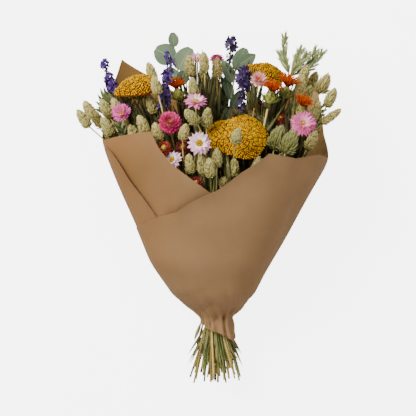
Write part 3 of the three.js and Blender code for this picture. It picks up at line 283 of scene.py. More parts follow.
def within(points, share=0.93):
    """Points moved inside the sheet where it covers them: the superellipse's value at a point is its distance from
    the axis over the sheet's, to the power q, and a point past `share` of the way out comes back to it."""
    y = points[..., 1]
    half_depth = eased(WRAP_HALF_DEPTH, y)
    axis = np.stack([eased(WRAP_MIDDLE_X, y), y, eased(WRAP_LOWEST, y) + half_depth], -1)
    out = points - axis
    across, ahead = out[..., 0] / eased(WRAP_HALF_WIDTH, y), out[..., 2] / half_depth
    turn = np.degrees(np.arctan2(*(bent(v, SQUARENESS / 2) for v in (across, ahead))))
    turn = np.where(turn < -100, turn + 360, turn)
    rim = np.maximum(through(WRAP_TOP, turn), np.where(turn < 20, through(WRAP_TOP, turn + 360), -np.inf))
    far = (np.abs(across) ** SQUARENESS + np.abs(ahead) ** SQUARENESS) ** (1 / SQUARENESS)
    back = np.where((y < rim + 4) & (far > share), share / np.maximum(far, share), 1.0)
    return axis + out * back[..., None]


def net(k, n, m):
    """Faces of k nets of n rows by m points. A face joins two neighbours of a row with the next row. The rows turn
    anticlockwise about the way they go, and the end ones are filled."""
    index = np.arange(k * n * m).reshape(k, n, m)
    after = np.roll(index, -1, axis=2)
    return [np.stack([index[:, :-1], after[:, :-1], after[:, 1:], index[:, 1:]], -1).reshape(-1, 4),
            index[:, 0, ::-1], index[:, -1]]


def piece(name, skins, node, slot):
    """One object in place of a CAD node. A skin is {"points" of its nets, "tone" of each net, "across" of each point
    of a row, "finish", and "faces" where its rows aren't closed}. Tone, across and the share along the rows are kept
    as attributes."""
    finishes = list(dict.fromkeys(skin["finish"] for skin in skins))
    faces, paint, marks, start = [], [], {"along": [], "across": [], "tone": []}, 0
    for skin in skins:
        k, n, m, _ = skin["points"].shape
        shares = {"along": np.linspace(0, 1, n)[:, None], "across": np.asarray(skin.get("across", 0.0)),
                  "tone": np.asarray(skin.get("tone", 0.5)).reshape(-1, 1, 1)}
        for mark, share in shares.items():
            marks[mark].append((np.ones((k, n, m)) * share).ravel())
        for part in skin.get("faces") or net(k, n, m):
            faces.append(part + start)
            paint.append(np.full(len(part), finishes.index(skin["finish"])))
        start += k * n * m
    mesh = bpy.data.meshes.new(name)
    sizes = np.concatenate([np.full(len(part), part.shape[1]) for part in faces])
    loops = np.concatenate([part.ravel() for part in faces])
    mesh.vertices.add(start)
    mesh.vertices.foreach_set("co", (np.concatenate([s["points"].reshape(-1, 3) for s in skins]) / 1000).ravel())
    mesh.loops.add(len(loops))
    mesh.loops.foreach_set("vertex_index", loops)
    mesh.polygons.add(len(sizes))
    mesh.polygons.foreach_set("loop_start", np.concatenate([[0], np.cumsum(sizes)[:-1]]))
    mesh.polygons.foreach_set("material_index", np.concatenate(paint))
    mesh.polygons.foreach_set("use_smooth", np.ones(len(sizes), bool))
    for mark, values in marks.items():
        mesh.attributes.new(mark, "FLOAT", "POINT").data.foreach_set("value", np.concatenate(values))
    mesh.update(calc_edges=True)
    mesh.validate()
    for finish in finishes:
        mesh.materials.append(finish)
    made = placed(name, mesh)
    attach(made, "root")
    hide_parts(node)


def skin(points, finish, tone=0.5, across=0.0):
    """A skin of `piece` whose rows are closed."""
    return {"points": points, "finish": finish, "tone": tone, "across": across}


def sheet_skin(middle, tone=(0.5, 0.5)):
    """A closed skin either side of a grid of points (n rows by m): each point goes out and in by half of PAPER
    along the grid's normal, and one band of faces runs round the edge."""
    n, m, _ = middle.shape
    normal = unit(np.cross(np.gradient(middle, axis=1), np.gradient(middle, axis=0)))
    both = np.stack([middle + normal * PAPER / 2, middle - normal * PAPER / 2])
    both[..., 2] = np.maximum(both[..., 2], 0.0)
    index = np.arange(2 * n * m).reshape(2, n, m)
    quads = lambda a: np.stack([a[:-1, :-1], a[:-1, 1:], a[1:, 1:], a[1:, :-1]], -1).reshape(-1, 4)
    rim = np.concatenate([index[:, 0, :-1], index[:, :-1, -1], index[:, -1, :0:-1], index[:, :0:-1, 0]], axis=1)
    after = np.roll(rim, -1, axis=1)
    band = np.stack([rim[0], rim[1], after[1], after[0]], -1)
    faces = [quads(index[0]), quads(index[1])[:, ::-1], band]
    return {"points": both, "faces": faces, "finish": kraft, "tone": tone}


kraft, spot = new_finish("brown kraft paper")
fibres = spot.noise(1400.0, 4.0)
clouds = spot.noise(14.0, 4.0)
ribs = spot.made("ShaderNodeTexWave", (),
                 {"Vector": spot, "Scale": 190.0, "Distortion": 1.4, "Detail": 2.0}, out="Fac")
shade = fibres * 0.3 + ribs * 0.05 + clouds * 0.5 + 0.03
colour = shade.ramp((0.2, (145, 112, 77)), (0.5, (168, 132, 96)), (0.8, (182, 147, 110)))
rightward = spot.made("ShaderNodeSeparateXYZ", (), {0: spot}, out="X")
# Painted shade: the sheet is painted darker and more golden towards its left, for the shade on its left panel.
left_painted_shade = (rightward * -6.0 - 0.15).maths("MAXIMUM", 0.0).maths("MINIMUM", 0.6)
# Painted light: the inside of the sheet is painted paler on the right, where light falls on the inner right wall.
inner_right_painted_light = (rightward * 25.0 - 3.0).maths("MAXIMUM", 0.0).maths("MINIMUM", 1.0)
colour = left_painted_shade.mixed(colour, (142, 98, 52))
inner = inner_right_painted_light.mixed((168, 130, 80), (212, 176, 124))
colour = ((0.5 - spot.tone) * 4.5).mixed(colour, inner)
spot.painted(colour, fibres * 0.1 + 0.74, fibres * 0.7 + ribs * 0.15, 0.07, Specular_IOR_Level=0.25)

angles = np.sort(np.concatenate([np.linspace(-100, 380, COLUMNS), [a for a, _ in WRAP_TOP[1:-1]]]))[None, :]
top, bottom = through(WRAP_TOP, angles), through(WRAP_BOTTOM, angles)
share = lambda count: np.linspace(0, 1, count, endpoint=False)[:, None]
levels = np.concatenate([
    bottom + (NECK_LOW - bottom) * share(LOW_ROWS), NECK_LOW + 0 * angles + (NECK_HIGH - NECK_LOW) * share(NECK_ROWS),
    NECK_HIGH + (top - NECK_HIGH) * np.append(share(HIGH_ROWS), [[0.997], [1.0]], axis=0),
])
turns = np.broadcast_to(angles, levels.shape)
below_rim = top - levels
# The right panel's rim stands off the left panel that it laps over, and the left panel's edge is tucked under it.
on_top = np.clip((25 - turns) / 10, 0, 1) * (0.08 + 0.92 * np.clip((turns + 34) / 16, 0, 1))
above_lap = np.maximum(levels - through(WRAP_TOP, turns - 360), 0)
tucked = 3.6 * np.clip((turns - 324) / 12, 0, 1) * np.clip((levels + 70) / 30, 0, 1)
tucked *= np.exp(-(above_lap / 10) ** 1.5)
lifted = 4.2 * on_top - 1.2 * np.clip((turns - 330) / 20, 0, 1)
stand_off = lifted * np.exp(-below_rim / 16) - tucked
middle = wrap_point(turns, levels, through(WRAP_LAYER, turns), creases((turns + 360) % 360, levels) + stand_off)
skins = [sheet_skin(middle, (0.5, 0.28))]

# The pleat down the left panel: the sheet is folded back on itself there and its edge stands a little open.
line = np.array(PLEAT, float)
line_x, line_y = (line - PICTURE_MIDDLE).T * [[PIXEL], [-PIXEL]]
reach = eased(WRAP_HALF_WIDTH, line_y) - LAP
lean_over = np.clip(np.abs(line_x - eased(WRAP_MIDDLE_X, line_y)) / reach, 0, 1)
line_angle = 360 - np.degrees(np.arcsin(lean_over ** (SQUARENESS / 2)))
fold_angles = np.linspace(max(line_angle[0], 272.0), line_angle[-1], FOLD_COLUMNS)[None, :]
fold_top = np.interp(fold_angles, line_angle, line_y)
fold_y = fold_top - (fold_top - FOLD_FOOT) * np.linspace(0, 1, FOLD_ROWS)[:, None]
depth_in = fold_top - fold_y
opening = 1.6 + 4.2 * np.exp(-(((fold_top - 34) / 42) ** 2))
rise = 0.62 + opening * np.exp(-depth_in / 9) * np.clip((fold_angles - 273) / 8, 0.15, 1)
rise = np.minimum(rise, 1.15 + 0.5 * np.maximum(fold_y - through(WRAP_TOP, fold_angles - 360), 0))
fold = wrap_point(fold_angles + 0 * fold_y, fold_y, -LAP, creases(fold_angles + 0 * fold_y, fold_y) + rise)
skins.append(sheet_skin(fold[::-1]))
piece("kraft_wrap", skins, "paper_wrap", "kraft_paper")


# ---------------------------------------------------------------- where each plant stands
# 73 dried plants share the wrap: grasses, yarrow, everlastings, safflowers, larkspur, leaves and oats. Each has its
# head at a home place, which the press of the others has moved a little, and one stem down to its cut end.
TIE = np.array([13.0, -167.0, 44.5])
CUT_END_Y = (-226.0, -266.0)
STEM_TWIST, TWIST_LENGTH = 0.62, 93.0
SPREAD_X, SPREAD_Z, SPREAD_DROP = 3.05, 1.7, -5.0
STEM_LEVELS = [-132, -60, 20, 66, 98, 132, 166, 200]
# How far from home a plant is looked for, and its corners; how well corners match, and levels; and how far a stem
# strays from its straight line at a level.
HOME_XY, CORNERS_XY, MATCH, LEVEL_MATCH, STRAY = 9.0, 70, 0.03, 0.02, 22
NECK = 16.0
GOLDEN, GOLDEN_ANGLE = 0.618034, 2.39996
X, Y, Z = np.eye(3)


def circle(count):
    """`count` even angles round a circle."""
    return np.arange(count) / count * 2 * np.pi


def draw(n):
    """A number from 0 to 1 that is the same for the same n: the fraction of n times the golden share."""
    return (n * GOLDEN + 0.37) % 1


def standing(way, spin=0.0):
    """The shortest turn from +Z to a direction, after a turn of `spin` about +Z, as three columns: Rodrigues'
    formula for the turn about Z x way."""
    axis, cosine = np.cross(Z, way), way[2]
    cross = np.array([[0, -axis[2], axis[1]], [axis[2], 0, -axis[0]], [-axis[1], axis[0], 0]])
    turn = np.eye(3) + cross + cross @ cross / (1 + cosine)
    own = np.array([[np.cos(spin), -np.sin(spin), 0], [np.sin(spin), np.cos(spin), 0], [0, 0, 1]])
    return turn @ own


def ring_round(centre, axis, radius, sides, turn=0.0):
    """Points of a circle square to an axis, from the side nearest +X on."""
    out = unit(X - axis * axis[0])
    angle = (np.arange(sides) + turn) / sides * 2 * np.pi
    return centre + radius * (np.cos(angle)[:, None] * out + np.sin(angle)[:, None] * np.cross(axis, out))


def cloud(node):
    """A node's different corner points, in mm."""
    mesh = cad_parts[node].data
    flat = np.empty(len(mesh.vertices) * 3)
    mesh.vertices.foreach_get("co", flat)
    world = np.array(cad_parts[node].matrix_world)
    points = (flat.reshape(-1, 3) @ world[:3, :3].T + world[:3, 3]) * 1000
    return points[np.unique(np.round(points, 2), axis=0, return_index=True)[1]]


def agreed(candidates):
    """The places that at least two of the candidates share, most shared first."""
    if not len(candidates):
        return np.zeros((0, 3))
    close = np.linalg.norm(candidates[:, None] - candidates[None], axis=-1) < MATCH
    count, found = close.sum(1), []
    for k in np.argsort(-count, kind="stable"):
        if count[k] >= 2 and all(np.linalg.norm(candidates[k] - f) > 4 * MATCH for f in found):
            found.append(candidates[k])
    return np.array(found).reshape(-1, 3)


plants = []


def add_plant(kind, unit_name, home, shape, stem, foot, neck=NECK, face=None, lean=None, sunk=0.0, node=None, **more):
    """Finds a plant in its node: `shape(at, face)` gives corners that its head has at a place. The head's stem is
    `stem` mm thick, ends `foot` mm below its middle and `sunk` mm up in it, and bends `neck` mm below that."""
    home = np.array(home, float)
    outward = unit(home - TIE)
    bends = face is not None or lean is not None
    face = outward if face is None else unit(np.array(face, float))
    face = face if lean is None else unit(face + np.array(lean, float))
    base = -face * foot
    approach = base - unit(face + outward) * neck
    end = base + face * sunk
    points = cloud(node or unit_name)
    near = points[(np.abs(points[:, :2] - home[:2]) < CORNERS_XY).all(1)]
    best, at = 0, home
    for offset in shape(home, face) - home:
        places = near - offset
        for place in places[(np.abs(places[:, :2] - home[:2]) < HOME_XY).all(1)]:
            score = (np.linalg.norm(shape(place, face)[:, None] - near[None], axis=-1).min(1) < MATCH).sum()
            if score > best:
                best, at = score, place
    plants.append(SimpleNamespace(
        kind=kind, unit=unit_name, home=home, at=at, face=face, base=at + base, end=at + end, approach=at + approach,
        bends=bends, stem=stem, number=len(plants), **more))


# Heads at (x, y, z), then where they differ: length, width, and lean to the side and up.
CANARY_BUNCHES = [
    [(-187, 133, 120), (-178, 145, 134), (-167, 133, 106), (-154, 148, 96), (-137, 149, 122)],
    [(-152, 121, 134), (-139, 113, 152), (-116, 113, 160), (-103, 118, 165), (-88, 157, 120)],
    [(-77, 181, 165, 29, 17), (-86, 202, 90), (-28, 211, 120), (-7, 217, 135, 31, 18), (-8, 191, 100)],
    [(13, 208, 120), (-23, 179, 150, 30, 18), (2, 131, 180, 36, 19, 0.1, 0.2), (-25, 134, 190, 31, 21, -0.7, 0.2),
     (-35, 109, 195, 30, 18, 0.35, 0.3)],
    [(-74, 107, 190, 31, 19), (-14, 61, 195), (1, 62, 192), (-28, 62, 172), (13, 74, 188)],
    [(35, 62, 184), (25, 43, 178, 24, 18, 0, 1.2), (70, 67, 180), (41, 105, 216, 26, 19)],
    [(104, 101, 172, 34, 22), (119, 97, 184, 34, 22), (154, 100, 135), (162, 143, 120),
     (181, 137, 122, 38, 15, 0.7, 0)],
    [(136, 179, 128), (145, 199, 96), (157, 190, 76), (172, 184, 110, 30, 18), (181, 164, 124), (148, 168, 108)],
]
# Place, the way it faces, half width, half height, rise; then how much wider and fuller the finer head is, and its
# broad leaves.
YARROWS = [((50, 103, 190), (0.05, 0.6, 0.8), 47, 39, 15, 1.0, 1.1, 2),
           ((-103, 180, 122), (-0.2, 0.93, 0.3), 34, 30, 13, 1.06, 1.5, 46),
           ((85, 201, 112), (0.25, 0.8, 0.53), 29, 25, 11, 1.12, 1.55, 30)]
# Place, the way it faces, radius, (depth,) and the group that it stands in.
ACROCLINIUMS = [
    ((-127, 139, 165), (-0.35, 0.3, 0.85), 16, 1), ((-19, 155, 170), (0, 0.85, 0.5), 18, 2),
    ((-15, 95, 200), (0.05, 0.2, 0.98), 19, 2), ((-54, 75, 186), (-0.45, 0.35, 0.8), 15.5, 1),
    ((139, 122, 182), (0.15, 0.4, 0.9), 21, 3), ((75, 187, 152), (0.1, 0.6, 0.7), 14, 3),
    ((-17, 222, 96), (0, 0.8, 0.6), 12, 2),
]
STRAWFLOWERS = [
    ((-62, 122, 180), (0.1, 0.3, 0.95), 19, 11, 1), ((-63, 90, 170), (-0.1, 0.4, 0.9), 13, 13, 1),
    ((-38, 91, 158), (0.1, 0.4, 0.9), 12, 11, 1), ((-21, 42, 163), (0, 0.5, 0.85), 12, 11, 1),
    ((70, 151, 128), (0, 0.6, 0.8), 12, 11, 2), ((104, 133, 136), (0.1, 0.5, 0.85), 11, 10, 2),
    ((18, 222, 92), (0, 0.9, 0.45), 13, 9, 2),
]
SAFFLOWERS = [(-46, 169, 132), (92, 164, 157), (115, 172, 136), (136, 143, 150)]
# The spike's line, the size of a floret, and how many.
LARKSPURS = [
    ([(-141, 172, 102), (-150, 195, 103), (-157, 219, 106)], 7, 10),
    ([(-68, 146, 150), (-66, 172, 151), (-62, 197, 152), (-56, 212, 153), (-64, 230, 154)], 7, 12),
    ([(26, 218, 92), (28, 236, 94), (30, 256, 97)], 5.8, 6),
    ([(48, 144, 122), (51, 168, 130), (54, 190, 138), (53, 210, 142)], 8.2, 11),
]
# The twig's line, and its leaves: x, y, z, heading in degrees, length, width, tilt.
EUCALYPTUS = [
    ([(-38, 150, 78), (-42, 180, 80), (-46, 205, 80), (-50, 224, 80), (-52, 244, 78)],
     [(-48, 222, 82, 148, 36, 34, 0.15), (-52, 240, 79, 95, 24, 17, 0.3), (-46, 205, 82, 62, 40, 30, -0.1),
      (-42, 182, 82, 75, 26, 20, 0.25), (-44, 196, 78, 160, 26, 22, 0.2)]),
    ([(30, 120, 100), (34, 160, 102), (38, 190, 104), (42, 212, 104)],
     [(38, 206, 106, 66, 38, 25, 0.1), (42, 212, 104, 30, 34, 19, 0.25), (36, 186, 104, 112, 40, 17, 0.5),
      (34, 160, 102, 100, 40, 15, 0.6), (33, 146, 101, 60, 34, 15, 0.5), (31, 130, 101, 118, 30, 15, 0.5)]),
]
LEAFY = [(1, (-148, 158, 84)), (1, (-122, 166, 98)), (1, (-135, 128, 128)), (2, (160, 118, 106)), (2, (172, 152, 98))]
OAT_FOOT = (120, 196, 92)

for k, bunch in enumerate(CANARY_BUNCHES):
    for x, y, z, *rest in bunch:
        length, width, side, lift = (*rest, *(32, 19.5, 0, 0)[len(rest):])

        def egg(at, face, length=length, width=width):
            turn = standing(face, at[0])
            rings = [[(0, 0, length / 2)]] + [
                ring_round(np.array([0, 0, high * length]), Z, wide * width / 2, 5, row / 2)
                for row, (high, wide) in enumerate([(-0.5, 0.35), (-0.3, 0.9), (-0.06, 0.86), (0.17, 1)])
            ]
            return at + np.concatenate(rings) @ turn.T

        add_plant("canary_grass", f"canary_grass_{k + 1}", (x, y, z), egg, 1.3, length / 2,
                  lean=(side, 0, lift) if side or lift else None, sunk=4, length=length, width=width)
for k, (place, face, rx, ry, rise, wider, fuller, leaves) in enumerate(YARROWS):
    add_plant("yarrow", f"yarrow_{k + 1}", place,
              lambda at, face: at + np.outer([rise / 2 + 2.6, -rise / 2 - 0.16 * rx], face), 2.1, rx * 0.5, 20, face,
              sunk=rx * 0.34 - rise / 2 - 0.6, node=f"yarrow_{k + 1}_head", rx=rx, ry=ry, rise=rise, wider=wider,
              fuller=fuller, leaves=leaves)


def star(at, face, radius, notch, count, height, extra):
    """Petal tips round a head, `height` over its middle, and points at the `extra` heights of its axis."""
    k = np.arange(count)
    reach, angle = radius * (1 + 0.08 * np.sin(2.4 * k + notch)), (k + 0.5) / count * 2 * np.pi
    tips = np.stack([reach * np.cos(angle), reach * np.sin(angle), height + 0 * angle], -1)
    return at + np.concatenate([np.outer(extra, Z), tips]) @ standing(face, radius).T


for k, (place, face, radius, group) in enumerate(ACROCLINIUMS):
    add_plant("acroclinium", f"acroclinium_stems_{group}", place,
              lambda at, face: star(at, face, radius, radius * 0.42, 10, 3.2, [-1.0]), 1.5, 1.6, face=face,
              sunk=-0.3, node=f"acroclinium_{k + 1}_petals", radius=radius)
for k, (place, face, radius, deep, group) in enumerate(STRAWFLOWERS):
    add_plant("strawflower", f"strawflower_stems_{group}", place,
              lambda at, face: star(at, face, radius, radius * 0.62, 12 if radius > 15 else 9, deep * 0.175,
                                    [-deep / 2, deep * 0.45]), 1.7, deep * 0.5, face=face,
              sunk=-0.3, node=f"strawflower_{k + 1}", radius=radius, deep=deep)
for k, place in enumerate(SAFFLOWERS):
    add_plant("safflower", f"safflower_{k + 1}", place, lambda at, face: at + np.concatenate([
        ring_round(np.array([0, 0, 2.4]), Z, 7.8, 6, 1.5), ring_round(np.array([0, 0, -5.6]), Z, 7.125, 6, 0.5),
    ]) @ standing(face).T, 1.8, 10, sunk=3)
for k, (line, floret, count) in enumerate(LARKSPURS):
    spine = np.array(line, float)
    add_plant("larkspur", f"larkspur_{k + 1}", line[0],
              lambda at, face: ring_round(at - 0.8 * face, face, 1.2, 3), 1.6, 0.5, face=spine[1] - spine[0],
              sunk=-0.3, node=f"larkspur_{k + 1}_stem", line=spine - spine[0], floret=floret, count=count)


def neck_ring(at, face, home, radius, sunk):
    """The corners of a stem where it bends into a head's direction, NECK mm below the head."""
    approach = at - unit(face + unit(np.array(home) - TIE)) * NECK
    return ring_round(approach, unit(unit(at + face * sunk - approach) + Y), radius, 3)


for k, (line, leaves) in enumerate(EUCALYPTUS):
    spine = np.array(line, float)
    add_plant("eucalyptus", f"eucalyptus_{k + 1}", line[0],
              lambda at, face: neck_ring(at, face, line[0], 1.7 * 0.85, 2), 1.7, 0, face=spine[1] - spine[0], sunk=2,
              line=spine - spine[0], leaves=leaves)
for group, tip in LEAFY:
    add_plant("leafy", f"leafy_stems_{group}", tip, lambda at, face: ring_round(at, face, 0.8, 3), 1.4, 44, 14, sunk=1)
add_plant("oats", "oats", OAT_FOOT, lambda at, face: ring_round(at + face, face, 1.2, 3), 1.6, 0, sunk=1)


# ---------------------------------------------------------------- the stems
# Dried stems, straw yellow to green and brown, ribbed along their length. They cross in the tie, fan out below it
# and are cut off at a slant, and above it they spread through the paper's cone to the heads.
ROD_STEPS, CORNER_REACH, STEM_ROWS, STEM_JOINTS = 400, 6, 44, (0.31, 0.57)


def on_curve(points, count):
    """`count` points evenly along a centripetal Catmull-Rom curve through the points: a cubic between each two whose
    ends head along the lines to the points on either side."""
    points = np.array(points, float)
    ends = np.concatenate([[2 * points[0] - points[1]], points, [2 * points[-1] - points[-2]]])
    knots = np.append(0, np.cumsum(np.linalg.norm(np.diff(ends, axis=0), axis=1) ** 0.5))
    t = np.linspace(knots[1], knots[-2], 12 * len(points) + 60)
    k = np.clip(np.searchsorted(knots, t, side="right") - 1, 1, len(points) - 1)
    mix = lambda p, q, a, b: ((b - t) * p.T + (t - a) * q.T).T / (b - a)[:, None]
    t0, t1, t2, t3 = (knots[k + i] for i in (-1, 0, 1, 2))
    a, b, c, d = (ends[k + i] for i in (-1, 0, 1, 2))
    low, middle, high = mix(a, b, t0, t1), mix(b, c, t1, t2), mix(c, d, t2, t3)
    curve = mix(mix(low, middle, t0, t2), mix(middle, high, t1, t3), t1, t2)
    return evenly(curve, count)


def evenly(curve, count):
    """`count` points at even distances along a line of points."""
    gone = np.append(0, np.cumsum(np.linalg.norm(np.diff(curve, axis=0), axis=1)))
    even = np.linspace(0, gone[-1], count)
    return np.stack([np.interp(even, gone, curve[:, i]) for i in range(3)], -1)


def bent_rod(points, count):
    """`count` points along straight runs with round corners: the mean over CORNER_REACH mm to either side."""
    line, index = evenly(np.array(points, float), ROD_STEPS), np.arange(ROD_STEPS)
    reach = max(int(CORNER_REACH / np.linalg.norm(line[1] - line[0])), 1)
    window = np.clip(index + np.arange(-reach, reach + 1)[:, None], 0, ROD_STEPS - 1)
    ends = np.minimum(index, index[::-1])
    near = np.clip(window, index - ends, index + ends)
    return evenly(line[near].mean(0), count)


def tubes(paths, radius, sides=8, ribs=0.0):
    """Closed round rods along k paths of n points: circles square to each path, with `ribs` as the depth of fine
    grooves. The radius is one number, or one for each path and point."""
    paths = np.asarray(paths, float)
    way = unit(np.gradient(paths, axis=1))
    side = unit(np.cross(np.where(np.abs(way[..., 2:]) < 0.9, Z, X), way))
    angle = circle(sides)
    round_ = side[:, :, None] * np.cos(angle)[:, None] + np.cross(way, side)[:, :, None] * np.sin(angle)[:, None]
    wide = np.broadcast_to(np.asarray(radius, float), paths.shape[:2])[..., None, None]
    return paths[:, :, None] + round_ * (wide - ribs * (np.arange(sides) % 2)[:, None])


def cut_centre(points, y, radius):
    """The middle of a stem's three corners at a level, of which at least two are there."""
    there = points[np.abs(points[:, 1] - y) < LEVEL_MATCH]
    return agreed((there[:, None] - ring_round(np.zeros(3), Y, radius, 3)[None]).reshape(-1, 3))


# Each stem's path: its cut end, its place in the tie, the spots found for it at each level, and its head.
for group in dict.fromkeys(p.unit for p in plants):
    members = [p for p in plants if p.unit == group]
    node = group + "_stem" if members[0].kind in ("yarrow", "larkspur") else group
    points = cloud(node)
    for p in members:
        y = CUT_END_Y[0] + (CUT_END_Y[1] - CUT_END_Y[0]) * draw(p.number)
        found = cut_centre(points, y, p.stem)
        cut = found[0] if len(found) else TIE + (0, y - TIE[1], 0)
        down = (TIE[1] - y) / TWIST_LENGTH
        c, s = np.cos(STEM_TWIST), np.sin(STEM_TWIST)
        across = np.array([[1 - down + down * SPREAD_X * c, down * SPREAD_X * s],
                           [-down * SPREAD_Z * s, 1 - down + down * SPREAD_Z * c]])
        x, z = np.linalg.solve(across, [cut[0] - TIE[0], cut[2] - TIE[2] - SPREAD_DROP * down])
        p.tied = TIE + (x, 0, z)
        p.path = [cut, p.tied]
    for level in STEM_LEVELS:
        spots = cut_centre(points, level, members[0].stem)
        rising = [p for p in members if level < p.approach[1] - 6]
        if not len(spots) or not rising:
            continue
        guess = [p.path[-1] + (p.approach - p.path[-1]) * (level - p.path[-1][1])
                 / (p.approach[1] - p.path[-1][1]) for p in rising]
        far = np.linalg.norm(np.array(guess)[:, None] - spots[None], axis=-1)
        for _ in range(min(far.shape)):
            i, j = np.unravel_index(far.argmin(), far.shape)
            if far[i, j] > STRAY:
                break
            rising[i].path.append(spots[j])
            far[i], far[:, j] = np.inf, np.inf
    for p in members:
        p.path += [p.approach, p.end] if p.bends else [p.end]


def stem_skin(members, finish):
    """The stems of some plants, thinner towards the head, swollen a little at two joints."""
    paths = np.array([bent_rod(p.path, STEM_ROWS) for p in members])
    share = np.linspace(0, 1, STEM_ROWS)
    joints = sum(0.16 * np.exp(-(((share - at) / 0.008) ** 2)) for at in STEM_JOINTS)
    radius = np.array([p.stem for p in members])[:, None] * (1 - 0.22 * share + joints)
    return skin(tubes(paths, radius, 8, 0.1), finish, [draw(p.number * 3) for p in members], np.cos(circle(8)))


def stem_finish(name, pale, deep, dark):
    """Dried stem: long fine streaks, one stem paler and the next deeper, and a pale cut end."""
    finish, spot = new_finish(name)
    streak = spot.made("ShaderNodeMapping", (), {"Vector": spot, "Scale": (900.0, 18.0, 900.0)}).noise(1.0, 2.0)
    shade = streak * 0.5 + spot.tone * 0.75 + spot.noise(60.0, 2.0) * 0.3 - 0.28
    colour = (spot.along * -400.0 + 1.2).mixed(shade.ramp((0.1, dark), (0.42, deep), (0.85, pale)), (222, 208, 160))
    spot.painted(colour, streak * 0.2 + 0.5, streak, 0.12, Specular_IOR_Level=0.35)
    return finish


straw = stem_finish("straw stems", (224, 204, 136), (192, 168, 92), (128, 98, 52))
green = stem_finish("green stems", (190, 188, 124), (138, 148, 78), (84, 92, 46))
brown_green = stem_finish("dark green stems", (132, 136, 70), (86, 98, 46), (48, 58, 28))


def pieces_of(kind):
    """The plants of a kind, and their units in order."""
    own = [p for p in plants if p.kind == kind]
    return own, list(dict.fromkeys(p.unit for p in own))


# ---------------------------------------------------------------- blades: petals, bracts, scales and leaves
# The dried petals, bracts, scales and leaves are all thin stiff blades, thickest along the middle and thin at the
# rim, each with its own outline, bend and hollow.
def blades(root, way, up, length, width, thickness, outline, bend=0.0, cup=0.0, rows=7, sides=6, wave=0.0):
    """k closed blades. Each starts at its root, heads `way`, and bends towards `up` by `bend` radians along an arc;
    its section is a lens, `outline`(share along) times its width wide, whose rims rise by `cup` widths."""
    root, way, up = (np.atleast_2d(v).astype(float) for v in (root, way, up))
    count = max(len(root), len(way))
    column = lambda v: np.broadcast_to(np.asarray(v, float).reshape(-1, 1), (count, 1))
    length, width, thickness, bend, cup = (column(v) for v in (length, width, thickness, bend, cup))
    way = unit(way)
    up = unit(up - way * (up * way).sum(-1, keepdims=True))
    s = np.linspace(0, 1, rows)
    full = np.where(np.abs(bend) < 1e-4, 1e-4, bend)
    turn = full * s
    ahead, risen = length * np.sin(turn) / full, length * (1 - np.cos(turn)) / full
    mixed = lambda a, b: a[..., None] * way[:, None] + b[..., None] * up[:, None]
    normal, head = mixed(-np.sin(turn), np.cos(turn)), mixed(np.cos(turn), np.sin(turn))
    centre = root[:, None] + mixed(ahead, risen)
    side = np.cross(normal, head)
    share = outline(s)
    angle = circle(sides)
    c = np.cos(angle)
    x = c * (width * share)[..., None] / 2
    y = np.sin(angle) * (thickness * np.sqrt(np.clip(share, 0, 1)))[..., None] / 2
    y = y + (cup * width * share)[..., None] * c**2
    y = y + wave * np.sin(9 * s[:, None] + 2 * np.sign(c)) * np.abs(c) * share[:, None]
    return centre[:, :, None] + x[..., None] * side[:, :, None] + y[..., None] * normal[:, :, None]


def leaf_shape(start, power=1.0, bow=1.0):
    """The outline sin(pi (start + (1 - start) s)^bow)^power for the share s of the way along a blade."""
    return lambda s: np.maximum(np.sin(np.pi * (start + (1 - start) * s) ** bow), 0) ** power


def blade_skin(grid, finish, tone=0.5):
    """Blades as a skin: `across` runs from -1 to 1 between their rims."""
    return skin(grid, finish, np.broadcast_to(tone, len(grid)), np.cos(circle(grid.shape[2])))


def lathe(centre, turn, rows, sides):
    """One closed round body from rows of (height, radius), turned and set at a centre."""
    rows, out = np.array(rows, float), around(circle(sides))
    return (centre + (out * rows[:, 1:, None] + Z * rows[:, :1, None]) @ turn.T)[None]


def spiral(count, start=0.0):
    """Angles of a sunflower spiral."""
    return (np.arange(count) + start) * GOLDEN_ANGLE


def off_axis(out, far, high):
    """Points `far` out, the way of unit vectors, and `high` up a head's axis."""
    return out * np.reshape(far, (-1, 1)) + Z * np.reshape(high, (-1, 1))


def around(angle):
    """Unit vectors across +Z at these angles."""
    return np.stack([np.cos(angle), np.sin(angle), 0 * angle], -1)


# ---------------------------------------------------------------- canary grass
# Plump egg-shaped ears of two hundred flat papery scales, each pale straw with green lines beside its keel,
# packed in a spiral round the stem and pointing up the ear.
scale_finish, spot = new_finish("canary grass scales")
along, across = spot.along, spot.across
lines = (across * across * 9.0).maths("SINE").maths("ABSOLUTE")
shade = (spot.tone + spot.noise(260.0, 2.0) * 0.3 - 0.15).ramp(
    (0.0, (158, 132, 80)), (0.3, (216, 196, 128)), (0.6, (202, 190, 122)), (1.0, (160, 168, 102)))
# Painted shade: each scale is painted darker towards its root, where the scales above overlap and shade it.
depth = (along * -2.4 + 1.7).maths("MAXIMUM", 0.0).maths("MINIMUM", 1.0)
shade = (depth * 0.66).mixed(shade, (112, 104, 50))
shade = (along * 3.0 - 2.2).maths("MAXIMUM", 0.0).mixed(shade, (232, 222, 178))
spot.painted((lines * along * 0.55).mixed(shade, (128, 130, 74)), 0.62, lines, 0.1, Specular_IOR_Level=0.3)
core_finish = mottled("canary grass inside", 300.0, (112, 102, 52), (140, 130, 72), 0.8)
# The hue of some ears: brown, straw, and the long-haired green ones at the right.
HUES = {15: 0.08, 37: 0.3, 26: 0.42, 29: 0.95, 30: 0.9, 4: 0.2, 12: 0.3, 34: 0.3}
SPIKY = {37: 1.7, 29: 2.0, 30: 1.9}
EAR_ROWS = [(-0.5, 0.22), (-0.44, 0.55), (-0.3, 0.88), (-0.1, 1.0), (0.1, 0.98), (0.28, 0.78), (0.4, 0.5), (0.5, 0.14)]
SCALES, SCALE_LONG = 200, 32


